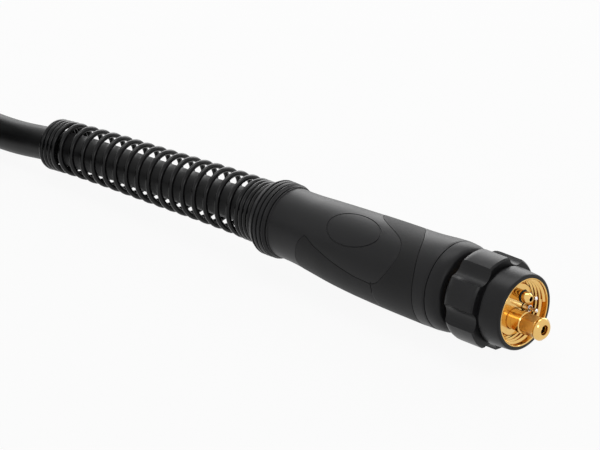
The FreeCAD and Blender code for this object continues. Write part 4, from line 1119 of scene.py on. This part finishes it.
def box_tool(name, low, high):
    """A box between two corners, in millimetres."""
    nothing_selected()
    bpy.ops.mesh.primitive_cube_add(size=1)
    piece = named(bpy.context.object, name)
    low, high = Vector(low), Vector(high)
    piece.location = (low + high) / 2 * MM
    piece.scale = (high - low) * MM
    return applied(piece)


class TORCH_OT_handle(bpy.types.Operator):
    """Handle: an oval form extruded ring by ring, cut in two shells with a trigger slot"""

    bl_idname = "torch.handle"
    bl_label = "Handle"

    # Rings along the handle: share of its length, of its half width and of its half height
    STATIONS = [
        (0.0, 0.80, 0.86), (0.02, 0.86, 0.92), (0.14, 0.93, 0.97), (0.27, 0.905, 0.955), (0.4, 0.88, 0.94),
        (0.54, 0.94, 0.97), (0.68, 1.0, 1.0), (0.78, 0.97, 0.97), (0.88, 0.9, 0.92), (0.95, 0.79, 0.82),
        (0.99, 0.66, 0.72), (1.0, 0.6, 0.66),
    ]

    def execute(self, context):
        half = (HANDLE_HIGH.y - HANDLE_LOW.y) / 2 - 0.1
        tall = HANDLE_HIGH.z - GUN.z - 0.1
        for side, bottom, top in (("upper", HALF_GAP, 50), ("lower", -50, -HALF_GAP)):
            shell = self.form(half, tall)
            shell.name = f"handle_{side}"
            put(shell, GUN + Vector((HANDLE, 0, 0)))
            low = Vector((HANDLE - 5, -50, bottom)) + GUN
            high = Vector((HANDLE + HANDLE_LENGTH + 5, 50, top)) + GUN
            carve(shell, box_tool("half", low, high), "INTERSECT")
            window = box_tool(
                "window",
                GUN + Vector((HANDLE + 63, -24, -5.6)),
                GUN + Vector((HANDLE + 112, -4, 5.6)),
            )
            carve(shell, window)
            carve(shell, cylinder("seat", 8.1, HANDLE + 105, 30, GUN))
            carve(shell, cylinder("cable_way", 11.3, HANDLE - 5, 11, GUN))
            bevel(shell, 0.35, 2, 40)
            tidy(shell, 40)
            finished(shell, ROOT, "hard_plastic", f"handle_shell_{side}")
            if side == "upper":
                self.screws()
        return {"FINISHED"}

    def form(self, half, tall):
        """The whole handle, oval in section, with its rings at STATIONS."""
        nothing_selected()
        bpy.ops.mesh.primitive_circle_add(vertices=72, radius=MM, fill_type="NGON", rotation=ALONG_X)
        form = applied(bpy.context.object)
        into_edit()
        _, wide, high = self.STATIONS[0]
        bpy.ops.transform.resize(value=(1, half * wide, tall * high))
        for (a, w0, h0), (b, w1, h1) in zip(self.STATIONS, self.STATIONS[1:]):
            step = (b - a) * HANDLE_LENGTH * MM
            bpy.ops.mesh.extrude_region_move(TRANSFORM_OT_translate={"value": (step, 0, 0)})
            bpy.ops.transform.resize(value=(1, w1 / w0, h1 / h0))
        out_of_edit()
        return tidy(form, 40)

    def screws(self):
        """Three countersunk screw heads, which show on the upper shell."""
        for i, (share, aside, rise) in enumerate(SCREWS):
            head = turned(
                f"handle_screw_{i}",
                [(0, 0), (0, 1.1), (0.5, 1.1), (0.5, 2.6), (0.1, 2.9), (-1.2, 2.9), (-1.2, 0)],
                steps=32,
            )
            at = GUN + Vector((HANDLE + HANDLE_LENGTH * share, aside, 0)) + Vector((0, 0, rise))
            finished(put(head, at, Matrix.Rotation(-math.pi / 2, 4, "Y")), ROOT, "nickel")


class TORCH_OT_trigger(bpy.types.Operator):
    """Trigger lever with its rounded thumb face"""

    bl_idname = "torch.trigger"
    bl_label = "Trigger"

    def execute(self, context):
        pivot = GUN + Vector((HANDLE + HANDLE_LENGTH - TRIGGER_BACK, TRIGGER_ASIDE, 0))
        lever = drawn("trigger_lever_skin", [
            (4, 3), (-4, 3), (-38, 1), (-40, -1), (-40, -7), (-38.5, -10), (-35, -11.8), (-29, -12.4),
            (-22, -12.9), (-13, -12.3), (-6, -11.4), (0, -9.6), (3, -7.6), (4.5, -3),
        ])
        bpy.ops.mesh.edge_face_add()
        bpy.ops.mesh.extrude_region_move(TRANSFORM_OT_translate={"value": (0, 0, TRIGGER_WIDTH * MM)})
        out_of_edit()
        put(lever, pivot - Vector((0, 0, TRIGGER_WIDTH / 2)))
        tidy(lever)
        bevel(lever, 1.1, 3, 40)
        tidy(lever, 40)
        finished(lever, "trigger_lever", "nut_plastic", "trigger")
        return {"FINISHED"}


class TORCH_OT_neck(bpy.types.Operator):
    """Swan neck's rubber sleeve"""

    bl_idname = "torch.neck"
    bl_label = "Neck"

    def execute(self, context):
        start = GUN + Vector((HANDLE + HANDLE_LENGTH, 0, 0))
        line = [start + Vector((-16, 0, 0)), start + Vector((NECK_RUN / 2, 0, 0))]
        for i in range(SLEEVE_STEPS + 1):
            angle = NECK_ANGLE * i / SLEEVE_STEPS
            ahead = NECK_RUN + NECK_BEND * math.sin(angle)
            line.append(start + Vector((ahead, -NECK_BEND * (1 - math.cos(angle)), 0)))
        line.append(NECK_END + AIM @ Vector((8, 0, 0)))
        cover = converted(spline("neck_cover", line, SLEEVE_RADIUS, 12, 6), "neck_cover")
        tidy(cover, 40)
        finished(cover, ROOT, "ring_rubber", "neck_sleeve")
        return {"FINISHED"}


class TORCH_OT_nozzle(bpy.types.Operator):
    """Insulator, gas nozzle and contact tip"""

    bl_idname = "torch.nozzle"
    bl_label = "Nozzle and tip"

    def execute(self, context):
        ring = turned("insulator_ring", [
            (8.1, 5.2), (8.1, 9.6), (8.4, 10.2), (9.0, 10.45), (14.3, 10.45), (14.9, 10.2), (15.1, 9.8),
            (15.1, 8.6), (26.0, 8.6), (26.0, 7.0), (20.0, 7.0), (20.0, 5.2),
        ])
        finished(put(ring, NECK_END, AIM), ROOT, "hard_plastic", "nozzle_insulator")
        low = 15.5
        end = 69.4
        nozzle = turned("gas_nozzle_skin", [
            (low, 9.05), (low, 10.2), (low + 0.3, 10.45), (low + 29.5, 10.45), (low + 34, 10.3),
            (low + 44, 8.7), (low + 46, 8.4), (end - 0.5, 8.0), (end, 7.6), (end, 7.0), (end - 0.4, 6.6),
            (low + 46, 6.9), (low + 34, 8.8), (low + 29, 9.05),
        ])
        finished(put(nozzle, NECK_END, AIM), "nozzle", "nickel", "gas_nozzle")
        tip = turned("contact_tip_skin", [
            (33.0, 0.6), (33.0, 3.0), (40.3, 3.0), (40.3, 3.9), (40.6, 4.0), (55.0, 4.0), (57.5, 3.6),
            (59.0, 2.9), (59.7, 2.2), (59.7, 0.8), (59.4, 0.6),
        ], steps=64)
        finished(put(tip, NECK_END, AIM), ROOT, "copper", "contact_tip")
        return {"FINISHED"}


# ------------------------------------------------ CAD nodes that stay in sight
KEPT = {
    "plug_body": "polished_brass",
    "nut_retaining_ring": "bright_steel",
    "wire_liner": "liner_steel",
    "crimp_ferrule": "brushed_brass",
    "spring_collar": "hard_plastic",
    "cable_inner_end": "jacket",
    "cable_gun_end": "jacket",
    "trigger_pin": "bright_steel",
    "micro_switch": "nut_plastic",
    "swan_neck": "brushed_brass",
    "tip_holder": "brushed_brass",
}


class TORCH_OT_kept(bpy.types.Operator):
    """Finishes for the CAD pieces whose own shape is right"""

    bl_idname = "torch.kept"
    bl_label = "CAD pieces"

    def execute(self, context):
        for node, finish in KEPT.items():
            coated(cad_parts[node], finish)
        return {"FINISHED"}


# ------------------------------------------------------------------- the stage
VIEWER = Vector((1.1279, -1.3341, 0.8084))
AHEAD = Vector((-0.6372, 0.6593, -0.3992))
ACROSS = Vector((0.7191, 0.6950, 0.0))
UPWARD = Vector((-0.2774, 0.2871, 0.9169))
LENS = 222.9
WHITE = (1, 1, 1, 1)
FLOOR_WHITE = 0.93
GLOW = 0.15
# Soft lamps: name, place, what they face, size, and power in watts
LAMPS = [
    ("back_soft", (-1.0, 1.5, 0.75), (-0.2, 0, 0), (2.4, 1.0), 20),
    ("top_soft", (-0.4, 0.3, 1.5), (-0.2, 0, 0), (1.4, 0.7), 9),
    ("front_soft", (1.3, -0.9, 1.0), (-0.1, 0, 0), (0.5, 0.5), 3),
]


def area_light(name, at, to, size, power):
    """A soft lamp that faces a place, all in metres."""
    data = bpy.data.lights.new(name, "AREA")
    data.shape = "RECTANGLE"
    data.size, data.size_y = size
    data.energy = power
    light = bpy.data.objects.new(name, data)
    light.location = at
    light.rotation_euler = (Vector(to) - Vector(at)).to_track_quat("-Z", "Y").to_euler()
    bpy.context.scene.collection.objects.link(light)


class TORCH_OT_stage(bpy.types.Operator):
    """Camera, pale floor, studio lights and a white surround"""

    bl_idname = "torch.stage"
    bl_label = "Stage"

    def execute(self, context):
        scene = context.scene
        data = bpy.data.cameras.new("camera")
        data.sensor_width = 36
        data.lens = LENS
        data.clip_start = 0.1
        data.clip_end = 50
        camera = bpy.data.objects.new("camera", data)
        turn = Matrix((ACROSS, UPWARD, -AHEAD)).transposed().to_4x4()
        camera.matrix_world = Matrix.Translation(VIEWER) @ turn
        scene.collection.objects.link(camera)
        scene.camera = camera
        self.floor()
        for lamp in LAMPS:
            area_light(*lamp)
        self.surround(scene)
        scene.view_settings.view_transform = "Standard"
        return {"FINISHED"}

    def floor(self):
        """White on sight, but for a share that keeps the object's shadow."""
        nothing_selected()
        bpy.ops.mesh.primitive_plane_add(size=12, location=(0, 0, FLOOR - 0.0002))
        floor = named(bpy.context.object, "floor")
        shade = new_material("pale_floor")
        cloth = shade.noise(3.0, 2.0)
        colour = shade.tint(cloth, (0.80, 0.80, 0.80), (0.84, 0.84, 0.84))
        matt = shade.add("ShaderNodeBsdfDiffuse", {}, {"Color": colour})
        white = shade.add("ShaderNodeEmission", {}, {"Color": WHITE, "Strength": 1.0})
        share = shade.white_on_sight() * FLOOR_WHITE
        mixed = shade.add("ShaderNodeMixShader", {}, {0: share, 1: matt, 2: white})
        floor.data.materials.append(shade.end_with(mixed))

    def surround(self, scene):
        """White to the camera, in reflections and through clear pieces, a dim glow otherwise."""
        shade = Shade(bpy.data.worlds.new("surround"))
        glow = shade.add("ShaderNodeBackground", {}, {"Color": WHITE, "Strength": GLOW})
        white = shade.add("ShaderNodeBackground", {}, {"Color": WHITE, "Strength": 1.0})
        mixed = shade.add("ShaderNodeMixShader", {}, {0: shade.white_on_sight(), 1: glow, 2: white})
        scene.world = shade.end_with(mixed, "ShaderNodeOutputWorld")


PIECES = (
    TORCH_OT_stage,
    TORCH_OT_cable,
    TORCH_OT_spring,
    TORCH_OT_nut,
    TORCH_OT_insert,
    TORCH_OT_nose,
    TORCH_OT_nipple,
    TORCH_OT_pilots,
    TORCH_OT_housing,
    TORCH_OT_grips,
    TORCH_OT_gun_rear,
    TORCH_OT_handle,
    TORCH_OT_trigger,
    TORCH_OT_neck,
    TORCH_OT_nozzle,
    TORCH_OT_kept,
)


class TORCH_PT_build(bpy.types.Panel):
    """Lists the torch's sizes, colours and pieces"""

    bl_idname = "TORCH_PT_build"
    bl_label = "Welding torch"
    bl_space_type = "VIEW_3D"
    bl_region_type = "UI"
    bl_category = "Torch"

    def draw(self, context):
        for group in (context.scene.torch_sizes, context.scene.torch_colours):
            box = self.layout.box()
            for name in group.bl_rna.properties.keys():
                if name not in {"rna_type", "name"}:
                    box.prop(group, name)
        for piece in PIECES:
            self.layout.operator(piece.bl_idname)


CLASSES = (TorchSizes, TorchColours, *PIECES, TORCH_PT_build)


def register():
    for kind in CLASSES:
        bpy.utils.register_class(kind)
    bpy.types.Scene.torch_sizes = bpy.props.PointerProperty(type=TorchSizes)
    bpy.types.Scene.torch_colours = bpy.props.PointerProperty(type=TorchColours)


def unregister():
    del bpy.types.Scene.torch_colours
    del bpy.types.Scene.torch_sizes
    for kind in reversed(CLASSES):
        bpy.utils.unregister_class(kind)


def main():
    register()
    for piece in PIECES:
        group, name = piece.bl_idname.split(".")
        getattr(getattr(bpy.ops, group), name)()


if __name__ == "__main__":
    main()
